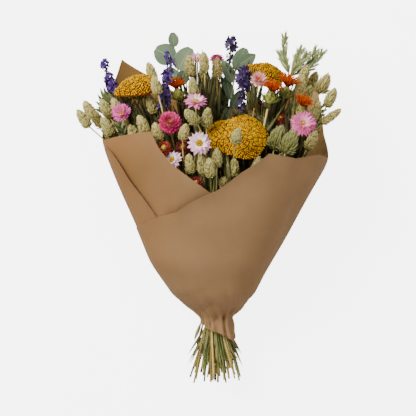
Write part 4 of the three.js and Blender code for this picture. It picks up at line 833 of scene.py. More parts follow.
def ear(p):
    """Scales in rows of a spiral over an egg, its radius a smooth line through EAR_ROWS."""
    rng = np.random.default_rng(300 + p.number)
    turn = standing(p.face, p.at[0])
    spiky = SPIKY.get(p.number, 1.0)
    radius = lambda h: p.width / 2 * through(EAR_ROWS, h)
    h = -0.475 + 0.86 * (np.arange(SCALES) + 0.5) / SCALES
    h = h + rng.normal(0, 0.01, SCALES)
    out = around(spiral(SCALES) + rng.normal(0, 0.08, SCALES))
    slope = (radius(h + 0.02) - radius(h - 0.02)) / (0.04 * p.length)
    lean = np.arctan(slope) + rng.normal(0.27 + 0.22 * (spiky - 1), 0.1, SCALES)
    size = SCALE_LONG * (0.2 - 0.05 * np.clip(h, 0, 0.5)) * rng.uniform(0.85, 1.22, SCALES)
    flat = blades(off_axis(out, radius(h) * 0.68, h * p.length), off_axis(out, np.sin(lean), np.cos(lean)), out,
                  size * spiky, size * 0.56 / spiky, 1.2, lambda s: leaf_shape(0, 0.7, 0.8)(s) * (1 - 0.25 * s),
                  bend=-0.45, cup=-0.24, rows=6)
    rows = [(v * p.length, radius(v) * 0.76) for v in np.linspace(-0.5, 0.44, 12)]
    hue = HUES.get(p.number, 0.3 + 0.4 * draw(p.number * 5))
    tone = np.clip(rng.normal(hue, 0.09, SCALES), 0, 1)
    core = lathe(p.at, turn, [(rows[0][0], 0)] + rows + [(0.45 * p.length, 0)], 14)
    return p.at + flat @ turn.T, tone, core


def under_head(points, head):
    """Points moved down where they stand through a flat head or over it: to a plane a third of its width under
    its rim, square to the way that it faces."""
    away, face = points - head.at, unit(head.face)
    plane = head.at[2] - (away[..., 0] * face[0] + away[..., 1] * face[1]) / face[2] - 0.3 * head.rx
    near = np.clip((1.35 - np.hypot(away[..., 0] / head.rx, away[..., 1] / head.ry)) / 0.35, 0, 1)
    points[..., 2] -= near * np.maximum(points[..., 2] - plane, 0)
    return points


leaf_finish, spot = new_finish("dry grass leaves")
streaks = (spot.across * 20.0).maths("SINE")
spot.painted((spot.tone * 0.7 + spot.noise(60.0, 2.0) * 0.4 + streaks * 0.06 - 0.1).ramp(
    (0.05, (84, 74, 38)), (0.4, (112, 112, 60)), (0.7, (156, 150, 92)), (0.95, (188, 166, 108))), 0.65, streaks, 0.08)


def dry_leaves(members, each, finish=leaf_finish, long=(38, 82), wide=6.0, low=24, high=105, seed=0, spread=0.12,
               tones=(0, 1)):
    """Narrow leaves along the upper stems: each leaves its stem between `low` and `high` mm below the head and heads
    on beside it, leaning a little towards the middle of the wrap."""
    rng = np.random.default_rng(40 + seed)
    rows = [(p, drop) for p in members for drop in rng.uniform(low, high, each)]
    count = len(rows)
    line = np.array([bent_rod(p.path, 120) for p, _ in rows])
    step = np.linalg.norm(line[:, 1] - line[:, 0], axis=1)
    start = np.array([drop for _, drop in rows]) + rng.uniform(*long, count) * 0.75
    at, k = np.clip(119 - start / step, 40, 116).astype(int), np.arange(count)
    root, tangent = line[k, at], unit(line[k, at + 2] - line[k, at - 2])
    y = root[:, 1]
    inward = unit(np.stack([eased(WRAP_MIDDLE_X, y), y, eased(WRAP_LOWEST, y) + eased(WRAP_HALF_DEPTH, y)], -1) - root)
    way = unit(tangent + inward * rng.uniform(0.05, 0.3, (count, 1)) + rng.normal(0, spread, (count, 3)))
    outline = lambda s: np.minimum(1.0, (1 - s) * 1.6 + 0.02) * np.minimum(1.0, 0.45 + 3 * s)
    grid = blades(root, way, Z + inward * 0.3, rng.uniform(*long, count), wide * rng.uniform(0.6, 1.3, count), 0.5,
                  outline, bend=rng.uniform(-0.3, 0.35, count), cup=0.2, rows=12, sides=4, wave=0.3)
    grid = under_head(within(grid), next(p for p in plants if p.kind == "yarrow"))
    grid[..., 2] = np.maximum(grid[..., 2], 0.3)
    return blade_skin(grid, finish, rng.uniform(*tones, count))


def stem_leaves(members, seed):
    """Dry leaf ends under the tie, two to a stem: each leaves it there and heads down beside it, spreading a little."""
    rng = np.random.default_rng(80 + seed)
    rows = [(p, share) for p in members for share in rng.uniform(0.0, 0.5, 2)]
    count = len(rows)
    cut, tied = np.array([p.path[0] for p, _ in rows]), np.array([p.tied for p, _ in rows])
    share = np.array([share for _, share in rows])[:, None]
    root = tied + (cut - tied) * (0.22 + 0.4 * share)
    way = unit(cut - tied) + rng.normal(0, 0.12, (count, 3)) + unit(cut - TIE) * [0.5, 0, 0.0]
    room = (root[:, 1] + 262) / np.abs(unit(way)[:, 1])
    grid = blades(root, way, Z, np.minimum(rng.uniform(26, 52, count), room), rng.uniform(1.8, 4.2, count), 0.5,
                  lambda s: np.minimum(1.0, (1 - s) * 2.2 + 0.05) * np.minimum(1.0, 0.5 + 3 * s),
                  bend=rng.uniform(-0.25, 0.25, count), cup=0.25, rows=9, sides=4, wave=0.25)
    grid[..., 2] = np.maximum(grid[..., 2], 0.3)
    return blade_skin(grid, leaf_finish, rng.uniform(0.4, 1.2, count))


canary, groups = pieces_of("canary_grass")
for group in groups:
    own, last = [p for p in canary if p.unit == group], group[-1]
    scales, tones, cores = (np.concatenate(parts) for parts in zip(*(ear(p) for p in own)))
    skins = [blade_skin(scales, scale_finish, tones), skin(cores, core_finish),
             stem_skin(own, straw if last in "1346" else green),
             dry_leaves(own, 20 if last in "2347" else 12, low=40 if last in "456" else 20, seed=own[0].number),
             stem_leaves(own, own[0].number)]
    skins += [dry_leaves([p], 18, wide=7.5, low=2, high=60, seed=900 + p.number, spread=0.22, tones=(-0.2, 0.5))
              for p in own if p.at[1] > 170 and abs(p.at[0]) < 60]
    if group == groups[0]:      # and two broad brown leaves that hang out from under the skirt, at its left
        skins.append(blade_skin(blades(
            [(-12, -176, 50), (-9, -178, 46)], [(-0.42, -1, -0.1), (-0.24, -1, -0.2)], [(0.2, -0.1, 1), (0.4, 0, 1)],
            [27, 34], [5.4, 4.2], 0.5, leaf_shape(0.1, 0.7), bend=[0.3, -0.25], cup=0.2, rows=12, sides=4, wave=0.4,
        ), leaf_finish, [1.15, 1.0]))
    piece(group + "_ears", skins, group, "canary_grass")


# ---------------------------------------------------------------- yarrow
# Flat-topped heads of hundreds of tiny golden florets, each a small button on the end of a fine branch. The
# branches spread from the top of a stout green stem. Between the buttons the body under them shows dark brown,
# partly its own colour and partly painted shade in the gaps.
gold, spot = new_finish("yarrow florets")
grain = spot.noise(900.0, 2.0)
# Painted shade and light: each floret is painted darker at its base and paler at its top, as light from above falls on
# it; tone and grain vary at random.
spot.painted((spot.tone * 0.6 + spot.along * 0.5 + grain * 0.3 - 0.25).ramp(
    (0.1, (146, 90, 0)), (0.38, (200, 144, 0)), (0.62, (216, 166, 0)), (0.95, (234, 190, 0))),
    0.9, grain, 0.3, Specular_IOR_Level=0.06)
under = mottled("yarrow branches", 240.0, (104, 92, 34), (150, 136, 58), 0.75)
# The body under the florets is dark red-brown: partly the head's own brown, partly painted shade for the gaps between
# the florets.
gap_brown_and_painted_shade = mottled("yarrow gaps", 220.0, (112, 54, 2), (158, 94, 0), 0.9, 0.35, Specular_IOR_Level=0.06)
BUTTON_ROWS = np.array([(-2.2, 0.35), (-0.4, 0.82), (0.35, 1.0), (0.95, 0.8), (0.9, 0.4), (0.62, 0.0)])
# The share of the way out, and how far under the dome, or None on the underside.
BODY_ROWS = [(0, None), (0.7, None), (0.96, 2.8)] + [(share, 1.2) for share in (0.93, 0.8, 0.6, 0.4, 0.2, 0)]
BUTTON_RADIUS, RIM_STEPS, RAYS = 1.32, 64, 26


def yarrow_top(p, share, angle):
    """The dome: its height over the middle falls with the share of the way out, whose edge is scalloped."""
    wobble = len(p.unit) + p.rx
    edge = 1 + 0.07 * np.sin(3 * angle + wobble) + 0.05 * np.sin(5 * angle - wobble)
    out = share * (1 + (edge - 1) * share)
    lumps = 0.5 * np.sin(7 * angle + 9 * share) * np.sin(11 * share)
    high = p.rise * (1 - share**2.2) * p.fuller - p.rise / 2 + lumps
    return np.stack([p.rx * out * np.cos(angle), p.ry * out * np.sin(angle), high], -1) * [p.wider, p.wider, 1]


def yarrow_under(p, share):
    """The height of a head's underside, a flat cone."""
    return -p.rise / 2 - 0.16 * p.rx * (1 - share)


for p in pieces_of("yarrow")[0]:
    rng = np.random.default_rng(500 + p.number)
    turn = standing(p.face)
    count = int(p.rx * p.ry * 0.5)
    share = np.sqrt((np.arange(count) + 0.5) / count) * 0.985
    angle = spiral(count) + rng.normal(0, 0.012, count)
    hub_share = np.sqrt((np.arange(count // 8) + 0.5) / (count // 8))
    buttons, hubs = ((around(a) * s[:, None])[:, :2] for a, s in ((angle, share), (spiral(count // 8, 0.3), hub_share)))
    away = np.linalg.norm(buttons[:, None] - hubs[None], axis=-1)
    buttons = buttons + (hubs[away.argmin(1)] - buttons) * 0.1
    away = away.min(1) * p.rx
    share, angle = np.hypot(*buttons.T), np.arctan2(buttons[:, 1], buttons[:, 0])
    spots = yarrow_top(p, share, angle)
    normal = unit(np.stack([spots[:, 0] / p.rx**2, spots[:, 1] / p.ry**2, 0 * share], -1) * 26 + Z)
    spots = spots + rng.normal(0, 0.22, (count, 3)) + normal * (rng.normal(1.3, 0.3, count) - 0.04 * away**2)[:, None]
    size = BUTTON_RADIUS * rng.uniform(0.82, 1.12, count) * (1 - 0.06 * share)
    side = unit(np.cross(normal, Y))
    seven = around(circle(7))
    ring = side[:, None] * seven[:, :1] + np.cross(normal, side)[:, None] * seven[:, 1:2]
    lobes = 1 + 0.14 * (np.arange(7) % 2)
    button = ring[:, None] * (BUTTON_ROWS[:, 1:] * lobes)[:, :, None] + normal[:, None, None] * BUTTON_ROWS[:, :1, None]
    button = spots[:, None, None] + button * size[:, None, None, None]
    body = [yarrow_top(p, np.full(RIM_STEPS, share), circle(RIM_STEPS)) for share, _ in BODY_ROWS]
    for row, (share, sink) in zip(body, BODY_ROWS):
        row[:, 2] = yarrow_under(p, share) if sink is None else row[:, 2] - sink
    piece(p.unit + "_florets", [
        blade_skin(p.at + button @ turn.T, gold, np.clip(rng.normal(0.5, 0.22, count), 0, 1)),
        skin(p.at + np.array(body)[None] @ turn.T, gap_brown_and_painted_shade),
    ], p.unit + "_head", "yarrow")
    rays = []
    for k in range(RAYS):
        start = p.base + (p.approach - p.base) * (0.1 + 0.3 * draw(k))
        a, reach = k * GOLDEN_ANGLE, 0.25 + 0.4 * np.sqrt((k + 0.5) / RAYS)
        end = p.at + turn @ [p.rx * reach * np.cos(a), p.ry * reach * np.sin(a), yarrow_under(p, reach) - 0.2]
        rays.append(on_curve([start, start * 0.45 + end * 0.55 + turn @ Z * -1.5, end], 8))
    piece(p.unit + "_branches", [
        stem_skin([p], green), skin(tubes(rays, np.linspace(0.9, 0.6, 8), 6), under),
        dry_leaves([p], 20, low=30, seed=600 + p.number),
        dry_leaves([p], p.leaves, low=12, high=95, seed=640 + p.number, spread=0.2, tones=(-0.3, 0.5)),
    ], p.unit + "_stem", "green_stem")


# ---------------------------------------------------------------- acroclinium
# Paper daisies: two or three rows of thin, dry, pointed petals, white to strong pink, round a yellow button of tiny
# florets. Some are wide open, and some have closed up again like a brush.
def petal_finish(name, tip, root, roughness=0.5):
    """A dry petal: its root colour runs into its tip colour, with fine lines along it."""
    finish, spot = new_finish(name)
    veins = (spot.across * 26.0).maths("SINE")
    shade = spot.along + spot.tone * 0.5 + veins * 0.05 + spot.noise(300.0, 2.0) * 0.2 - 0.35
    spot.painted(shade.ramp((0.18, root), (0.75, tip)), roughness, veins, 0.05, Specular_IOR_Level=0.4,
                 Sheen_Weight=0.1)
    return finish


PETALS = [
    # tip, root, rows of (petals, length, angle above flat)
    ((236, 108, 176), (244, 172, 206), [(26, 0.86, 72), (26, 0.94, 58), (24, 1.0, 42)]),
    ((234, 132, 178), (248, 214, 224), [(13, 0.8, 42), (16, 0.95, 24), (16, 1.0, 6)]),
    ((236, 184, 206), (252, 244, 244), [(11, 0.74, 38), (14, 0.9, 22), (15, 1.0, 8)]),
    ((236, 190, 206), (250, 240, 236), [(12, 0.75, 40), (14, 0.9, 24), (14, 1.0, 8)]),
    ((234, 120, 168), (242, 176, 204), [(24, 0.7, 58), (26, 0.85, 40), (26, 0.95, 24), (24, 1.0, 8)]),
    ((236, 176, 172), (230, 112, 112), [(20, 0.84, 66), (20, 0.95, 48), (18, 1.0, 30)]),
    ((232, 140, 170), (246, 204, 214), [(18, 0.85, 40), (18, 1.0, 16)]),
]
NIBS = 90
yolk, spot = new_finish("acroclinium disc")
bumps = spot.noise(1300.0, 1.0)
spot.painted((spot.tone + bumps * 0.4 - 0.2).ramp((0.1, (186, 124, 0)), (0.5, (222, 176, 0)), (0.9, (240, 206, 20))),
             0.9, bumps, 0.2, Specular_IOR_Level=0.06)
sepal, spot = new_finish("acroclinium bracts")
spot.painted(spot.along.ramp((0.1, (150, 140, 84)), (0.9, (214, 190, 160))), 0.6)


def daisy_whorl(rng, p, count, reach, lift, start, height, root_at=0.16):
    """One row of petals from a small circle, each rising by `lift` degrees and bending back towards flat."""
    out = around((np.arange(count) + start) / count * 2 * np.pi + rng.normal(0, 0.05, count))
    tilt = np.radians(lift) + rng.normal(0, 0.08, count)
    way = off_axis(out, np.cos(tilt), np.sin(tilt))
    long = p.radius * (reach * rng.uniform(0.92, 1.06, count) - root_at) / np.maximum(np.cos(tilt * 0.75), 0.6)
    outline = lambda s: (0.34 + 0.66 * np.sin(np.pi * np.clip(s, 0, 1) ** 0.85)) * np.clip((1 - s) * 3.2, 0, 1) ** 0.8
    wide = 2 * np.pi * p.radius / (count + 3) * rng.uniform(0.85, 1.1, count)
    return blades(out * (root_at * p.radius) + Z * height, way, Z - out * 0.2, long, wide, 0.62, outline,
                  bend=-0.35 + rng.normal(0, 0.08, count), cup=rng.uniform(0.04, 0.12, count), rows=8)


def upward_painted_light(p, turn, grid):
    """How far up the picture each blade's tip stands from the head's middle, in head radii, for the painted light on
    the upper blades.
    """
    return (grid[:, -1, 0] @ turn.T)[:, 1] / p.radius


for k, (p, (tip, root, rows)) in enumerate(zip(pieces_of("acroclinium")[0], PETALS)):
    rng = np.random.default_rng(700 + k)
    r, turn = p.radius, standing(p.face, p.radius)
    grid = np.concatenate([daisy_whorl(rng, p, *petals, 0.5 * row, 2.2 - 0.8 * row) for row, petals in enumerate(rows)])
    cup_rows = [(-0.9, 0), (-0.8, 0.12 * r), (0.4, 0.22 * r), (1.6, 0.2 * r), (1.8, 0)]
    eye_rows = [(1.2, 0), (1.3, 0.1 * r), (3.4, 0.16 * r), (4.6, 0.1 * r), (4.8, 0)]
    back = daisy_whorl(rng, p, 16, 0.42, -4, 0.3, 0.0, root_at=0.08)
    # Painted light: petals towards the top of the picture are painted nearer their root colour, paler on most heads,
    # where the light from above falls.
    tones = np.clip(rng.normal(0.5, 0.2, len(grid)) - 0.25 * upward_painted_light(p, turn, grid), 0, 1)
    piece(f"acroclinium_{k + 1}_flower", [
        blade_skin(p.at + grid @ turn.T, petal_finish(f"acroclinium petals {k + 1}", tip, root), tones),
        skin(lathe(p.at, turn, eye_rows, 12), yolk), blade_skin(p.at + back @ turn.T, sepal),
        skin(lathe(p.at, turn, cup_rows, 16), sepal),
    ], f"acroclinium_{k + 1}_petals", "pink_petals")
    if k < 4:
        wide = r * 0.3
        share = np.sqrt((np.arange(NIBS) + 0.5) / NIBS)
        dome = lambda s: 1.9 + wide * 0.72 * np.sqrt(np.clip(1.04 - s**2, 0, 1))
        out = around(spiral(NIBS))
        way = unit(out * share[:, None] + Z * 0.9)
        nibs = blades(off_axis(out, share * wide, dome(share)) - way * 0.9, way, out + Z * 0.3, 2.1, 1.05, 1.0,
                      leaf_shape(0.12, 0.5), rows=4, sides=5)
        mound = [(1.2, 0), (1.3, 0.55 * wide)] + [(dome(s) - 0.2, s * wide * 0.96) for s in (1.0, 0.85, 0.6, 0.3, 0)]
        piece(f"acroclinium_{k + 1}_button", [
            blade_skin(p.at + nibs @ turn.T, yolk, np.clip(rng.normal(0.55, 0.2, NIBS), 0, 1)),
            skin(lathe(p.at, turn, mound, 16), yolk, 0.15),
        ], f"acroclinium_{k + 1}_disc", "yellow_disc")


def rods_of(kind, seed, **leaves):
    """The stems of everlastings that stand together, with their leaves, as one piece for each group."""
    own, groups = pieces_of(kind)
    for group in groups:
        members = [p for p in own if p.unit == group]
        foliage = dry_leaves(members, seed=seed + members[0].number, **leaves)
        piece(group + "_rods", [stem_skin(members, straw), foliage], group, "straw_stem")


rods_of("acroclinium", 100, each=24, low=4)


# ---------------------------------------------------------------- strawflowers
# Heads of some seventy stiff glossy bracts in close spirals, hot pink or dark red. They curl over a small middle,
# which is pale or yellow where the head is open.
BRACTS = [
    # bract, its root, how closed the head is
    ((214, 38, 110), (240, 120, 160), 0.35), ((150, 18, 34), (214, 120, 40), 0.3), ((132, 22, 32), (170, 60, 30), 0.5),
    ((140, 24, 36), (176, 70, 40), 0.5), ((128, 26, 30), (168, 80, 40), 0.5), ((168, 30, 44), (200, 90, 50), 0.5),
    ((196, 36, 116), (226, 100, 150), 0.5),
]
seed_finish = mottled("strawflower middle", 900.0, (196, 150, 40), (240, 214, 120), 0.7, detail=1.0)
for k, (p, (bract, inner, closed)) in enumerate(zip(pieces_of("strawflower")[0], BRACTS)):
    rng = np.random.default_rng(900 + k)
    r, turn = p.radius, standing(p.face, p.radius)
    count = 84 if r > 15 else 60
    share = (np.arange(count) + 0.5) / count
    out = around(spiral(count))
    tilt = np.radians(84 - 86 * share**0.9) + rng.normal(0, 0.06, count)
    root = off_axis(out, r * (0.16 + 0.2 * np.sin(np.pi * share)), p.deep * (0.02 - 0.36 * share))
    outline = lambda s: (0.55 + 0.45 * np.sin(np.pi * s)) * np.clip((1 - s) * 2.6, 0, 1) ** 0.7
    grid = blades(root, off_axis(out, np.cos(tilt), np.sin(tilt)), Z - out * 0.35, r * (0.46 + 0.3 * share), r * 0.36,
                  0.7, outline, bend=0.5 - 1.1 * share + rng.normal(0, 0.08, count), cup=0.13, rows=8)
    low, deep = -p.deep / 2, p.deep
    core = [(low, 0), (low + 0.3, 0.2 * r), (low + 0.3 * deep, 0.42 * r), (low + 0.6 * deep, 0.36 * r),
            (low + 0.82 * deep, 0.24 * r), (low + 0.86 * deep, 0)]
    # Painted light: bracts towards the top of the picture are painted nearer their paler root colour, where the light
    # from above falls.
    tones = rng.normal(0.5, 0.15, count) + closed * 0.4 - (0.9 if k == 0 else 0.3) * upward_painted_light(p, turn, grid)
    finish = petal_finish(f"strawflower bracts {k + 1}", bract, inner, 0.32)
    piece(f"strawflower_{k + 1}_head", [
        blade_skin(p.at + grid @ turn.T, finish, np.clip(tones, 0, 1)), skin(lathe(p.at, turn, core, 16), seed_finish),
    ], f"strawflower_{k + 1}", "hot_pink_bracts" if k in (0, 6) else "dark_red_bracts")
rods_of("strawflower", 200, each=16)


# ---------------------------------------------------------------- safflowers
# A hard yellow-green bulb of close leafy bracts with small points, and out of its top a thick tuft of orange threads.
bulb_finish, spot = new_finish("safflower bulb")
spot.painted((spot.along * 0.6 + spot.tone * 0.4 + spot.noise(200.0, 2.0) * 0.3 - 0.15).ramp(
    (0.1, (206, 198, 128)), (0.5, (172, 172, 92)), (0.9, (122, 128, 56))), 0.7, Specular_IOR_Level=0.25)
thread_finish, spot = new_finish("safflower threads")
spot.painted((spot.along * 0.7 + spot.tone * 0.5 - 0.1).ramp(
    (0.1, (136, 34, 2)), (0.5, (196, 72, 4)), (0.9, (222, 116, 16))), 0.8, Specular_IOR_Level=0.1)
BULB_LONG, BULB_RADIUS, BULB_BRACTS, COLLAR_LEAVES, THREADS = 20, 7.5, 46, 14, 170
BULB_ROWS = [(-0.5, 0.26), (-0.4, 0.62), (-0.25, 0.9), (0.0, 1.0), (0.2, 0.86), (0.38, 0.58), (0.5, 0.46)]
for k, p in enumerate(pieces_of("safflower")[0]):
    rng = np.random.default_rng(1100 + k)
    turn = standing(p.face)
    radius = lambda h: BULB_RADIUS * through(BULB_ROWS, h)
    h = -0.46 + 0.7 * (np.arange(BULB_BRACTS) + 0.5) / BULB_BRACTS
    out, leafy = around(spiral(BULB_BRACTS)), around(spiral(COLLAR_LEAVES))
    lean = np.arctan((radius(h + 0.02) - radius(h - 0.02)) / (0.04 * BULB_LONG)) + 0.12
    bracts = blades(off_axis(out, radius(h) * 0.86, h * BULB_LONG), off_axis(out, np.sin(lean), np.cos(lean)), out,
                    rng.uniform(5.5, 7.5, BULB_BRACTS), 4.6, 0.9, leaf_shape(0.2, 0.8), bend=-0.4, cup=-0.2)
    collar = blades(leafy * 3.2 - Z * 8.6, off_axis(leafy, 1.0, np.linspace(0.15, 0.9, COLLAR_LEAVES)), Z, 17.5, 8.0,
                    0.7, leaf_shape(0.12, 0.8), bend=0.95, cup=0.12, wave=0.3)
    rows = [(-10, 0)] + [(v * BULB_LONG, radius(v) * 0.9) for v in np.linspace(-0.5, 0.5, 10)] + [(10.05, 0)]
    tones = rng.uniform(0.2, 0.8, BULB_BRACTS + COLLAR_LEAVES)
    piece(f"safflower_{k + 1}_bulb", [
        blade_skin(p.at + np.concatenate([bracts, collar]) @ turn.T, bulb_finish, tones),
        skin(lathe(p.at, turn, rows, 16), bulb_finish, 0.3), stem_skin([p], straw),
        dry_leaves([p], 36, low=-4, seed=300 + k),
        dry_leaves([p], 44, wide=7.5, low=-6, high=48, seed=340 + k, spread=0.26, tones=(-0.2, 0.5)),
    ], f"safflower_{k + 1}", "safflower_bulb")
    share, out = np.sqrt((np.arange(THREADS) + 0.5) / THREADS), around(spiral(THREADS))
    root = off_axis(out, share * 3.2, 10.4)
    way = unit(off_axis(out, share, 1.0) + rng.normal(0, 0.14, (THREADS, 3)))
    long = rng.uniform(9, 16, (THREADS, 1)) * (1.35 if k == 2 else 1.1)
    ends = root + way * long + off_axis(out, share * 2.2, 0)
    paths = [on_curve(points, 6) for points in zip(root, root + way * long * 0.55, ends)]
    tuft = [(10.3, 0), (10.35, 3.4), (13, 4.2), (17, 2.6), (18, 0)]
    piece(f"safflower_{k + 1}_threads", [
        skin(p.at + tubes(paths, np.array([0.5, 0.45, 0.4, 0.4, 0.5, 0.22]), 4) @ turn.T, thread_finish,
             rng.uniform(0, 1, THREADS)),
        skin(lathe(p.at, turn, tuft, 12), thread_finish, 0.0),
    ], f"safflower_{k + 1}_tuft", "orange_tuft")


# ---------------------------------------------------------------- larkspur
# Upright spikes of deep violet florets: five crinkled petals with a spur behind, on a short stalk each, close
# together below and as unopened buds at the tip.
def larkspur_finish(name, *colours):
    """A thin petal of a dark, a middle and a pale colour."""
    finish, spot = new_finish(name)
    shade = spot.along * 0.5 + spot.tone * 0.6 + spot.noise(400.0, 2.0) * 0.4 - 0.25
    spot.painted(shade.ramp(*zip((0.1, 0.5, 0.9), colours)), 0.6)
    return finish


violet = larkspur_finish("larkspur petals", (36, 15, 60), (72, 36, 118), (108, 70, 158))
dusk = larkspur_finish("dark larkspur petals", (30, 14, 40), (54, 28, 78), (88, 56, 120))
olive, spot = new_finish("dark narrow leaves")
shade = (spot.tone * 0.6 + spot.noise(150.0, 2.0) * 0.5 - 0.05).ramp(
    (0.1, (66, 72, 38)), (0.5, (98, 106, 56)), (0.9, (140, 146, 88)))
spot.painted((spot.across.maths("ABSOLUTE") * -8.0 + 1.0).maths("MAXIMUM", 0.0).mixed(shade, (160, 160, 104)), 0.6)
# How large the florets are along each spike: they sit in loose clusters.
CLUSTERS = [
    [(0, 0.8), (0.2, 1.05), (0.5, 0.9), (0.62, 0.35), (0.76, 0.35), (0.84, 0.8), (1, 0.75)],
    [(0, 0.8), (0.2, 1.1), (0.36, 0.9), (0.42, 0.5), (0.5, 0.95), (0.64, 0.9), (0.7, 0.4), (0.8, 0.8), (1, 0.5)],
    [(0, 0.5), (0.15, 0.85), (0.3, 0.75), (0.4, 0.4), (0.55, 1.1), (0.8, 1.2), (1, 0.85)],
    [(0, 0.6), (0.25, 0.7), (0.4, 0.5), (0.5, 0.95), (0.7, 1.15), (0.85, 1.0), (1, 0.5)],
]
BUDS = 5
for k, p in enumerate(pieces_of("larkspur")[0]):
    rng = np.random.default_rng(1300 + k)
    line = on_curve(p.line + p.at, 60)
    tangent = unit(np.gradient(line, axis=0))
    count = int(p.count * 3.2)
    share = np.clip((np.arange(count) + 0.5) / count, 0, 0.985)
    spot_at = (share * 59).astype(int)
    along = tangent[spot_at]
    side = unit(X - along * along[:, :1])
    angle = spiral(count)[:, None]
    out = side * np.cos(angle) + np.cross(along, side) * np.sin(angle)
    size = 1.2 * p.floret * through(CLUSTERS[k], share) * rng.uniform(0.85, 1.1, count)
    lean = unit(out + along * rng.uniform(0.15, 0.6, (count, 1)))
    mouth = line[spot_at] + lean * (size * 0.62)[:, None]
    stalks = [on_curve([a, (a + b) / 2 + t * 0.6, b], 5) for a, b, t in zip(line[spot_at], mouth, along)]
    whorl, tones, across = [], [], unit(np.cross(lean, along))
    for petal in range(5):
        a = petal * 0.4 * np.pi + rng.normal(0, 0.2, count)[:, None]
        spread = across * np.cos(a) + np.cross(lean, across) * np.sin(a)
        whorl.append(blades(mouth, spread * 0.85 + lean * 0.5, lean, size * rng.uniform(0.8, 1.05, count), size * 0.72,
                            0.62, leaf_shape(0.1, 0.7, 0.9), bend=rng.uniform(-0.9, 0.5, count),
                            cup=rng.uniform(-0.1, 0.25, count), rows=6, wave=0.25))
        tones.append(rng.uniform(0.1, 0.9, count))
    spur = blades(mouth + lean * 0.8, -lean + along * 0.25, along, size * 1.15, 1.5, 1.5,
                  lambda s: (1 - s) ** 0.6 + 0.02, bend=0.5, rows=5, sides=5)
    bud_way = unit(tangent[-1] + rng.normal(0, 0.35, (BUDS, 3)))
    bud_at = line[-1] - tangent[-1] * np.linspace(0.5, 4.5, BUDS)[:, None]
    bud = blades(bud_at, bud_way, X, 5.0, 2.6, 2.6, leaf_shape(0.08, 0.8), rows=6)
    finish = violet if k < 2 else dusk
    piece(p.unit + "_petals", [
        blade_skin(np.concatenate(whorl), finish, np.concatenate(tones)), blade_skin(spur, finish, 0.4),
        blade_skin(bud, finish, 0.2), skin(tubes(stalks, 0.45, 5), brown_green),
        skin(tubes([line], np.linspace(1.4, 0.8, 60), 8, 0.1), brown_green),
    ], p.unit + "_florets", "larkspur")
    piece(p.unit + "_rod", [
        stem_skin([p], brown_green), dry_leaves([p], 24, olive, low=0, seed=400 + k),
        dry_leaves([p], 16, long=(20, 44), low=-12, high=50, seed=440 + k, spread=0.4, tones=(-0.1, 0.5)),
    ], p.unit + "_stem", "green_stem")


# ---------------------------------------------------------------- eucalyptus
# Twigs with leathery, matte, sage-green leaves: round ones and long ones, with a pale midrib and faint side veins.
sage, spot = new_finish("eucalyptus leaves")
off = spot.across.maths("ABSOLUTE")
rib = (off * -16.0 + 1.0).maths("MAXIMUM", 0.0)
branch = ((spot.along * 9.0 - off * 2.6) * 6.283).maths("SINE").maths("POWER", 8.0) * 0.35
clouds = spot.noise(70.0, 3.0)
shade = (clouds * 0.6 + spot.tone * 0.5 - 0.05).ramp((0.1, (68, 86, 64)), (0.5, (102, 124, 94)), (0.9, (138, 156, 122)))
shade = (rib + branch).maths("MINIMUM", 0.8).mixed(shade, (168, 180, 142))
spot.painted(shade, clouds * 0.2 + 0.6, rib + branch, 0.2)
bark = mottled("eucalyptus twigs", 200.0, (116, 110, 70), (150, 140, 96), 0.7)


def euler_turn(tilt, lift, heading):
    """Turns a shape about its own X by `tilt`, then Y by -`lift`, then Z by the heading in degrees."""
    (a, b, c), (d, e, f) = (f((tilt, -lift, np.radians(heading))) for f in (np.cos, np.sin))
    return (np.array([[c, -f, 0], [f, c, 0], [0, 0, 1]]) @ [[b, 0, e], [0, 1, 0], [-e, 0, b]]
            @ [[1, 0, 0], [0, a, -d], [0, d, a]])


for p in pieces_of("eucalyptus")[0]:
    line = on_curve(p.line + p.at, 50)
    leaves, stalks = [], []
    for x, y, z, heading, length, width, tilt in p.leaves:
        near = np.array([x, y, z]) + p.at - p.home
        root = line[np.linalg.norm(line - near, axis=1).argmin()] + (0, 0, 0.6)
        ahead, _, up = euler_turn(tilt, 0.05, heading).T
        start, reach, bow, power, wider = (0.06, 0.9, 0.95, 0.62, 1.0) if width > 0.6 * length else (
            0.05, 0.92, 0.85, 0.9, 1.2)
        outline = lambda s: np.sin(np.pi * (start + reach * s) ** bow) ** power
        leaves.append(blades(root + ahead * 2, ahead, up, length - 2, width * wider, 0.75, outline, bend=-0.24,
                             cup=0.05, rows=22, sides=18, wave=0.15)[0])
        stalks.append(on_curve([root - (0, 0, 0.6), root + ahead * 1.5, root + ahead * 4], 6))
    piece(p.unit + "_leaves", [
        blade_skin(np.array(leaves), sage, [draw(i * 2) for i in range(len(leaves))]),
        skin(tubes(stalks, 0.65, 6), bark), skin(tubes([line], np.linspace(p.stem, 0.8, 50), 8, 0.1), bark),
        stem_skin([p], brown_green),
        dry_leaves([p], 26, olive, low=0, seed=500 + p.number),
    ], p.unit, "eucalyptus")


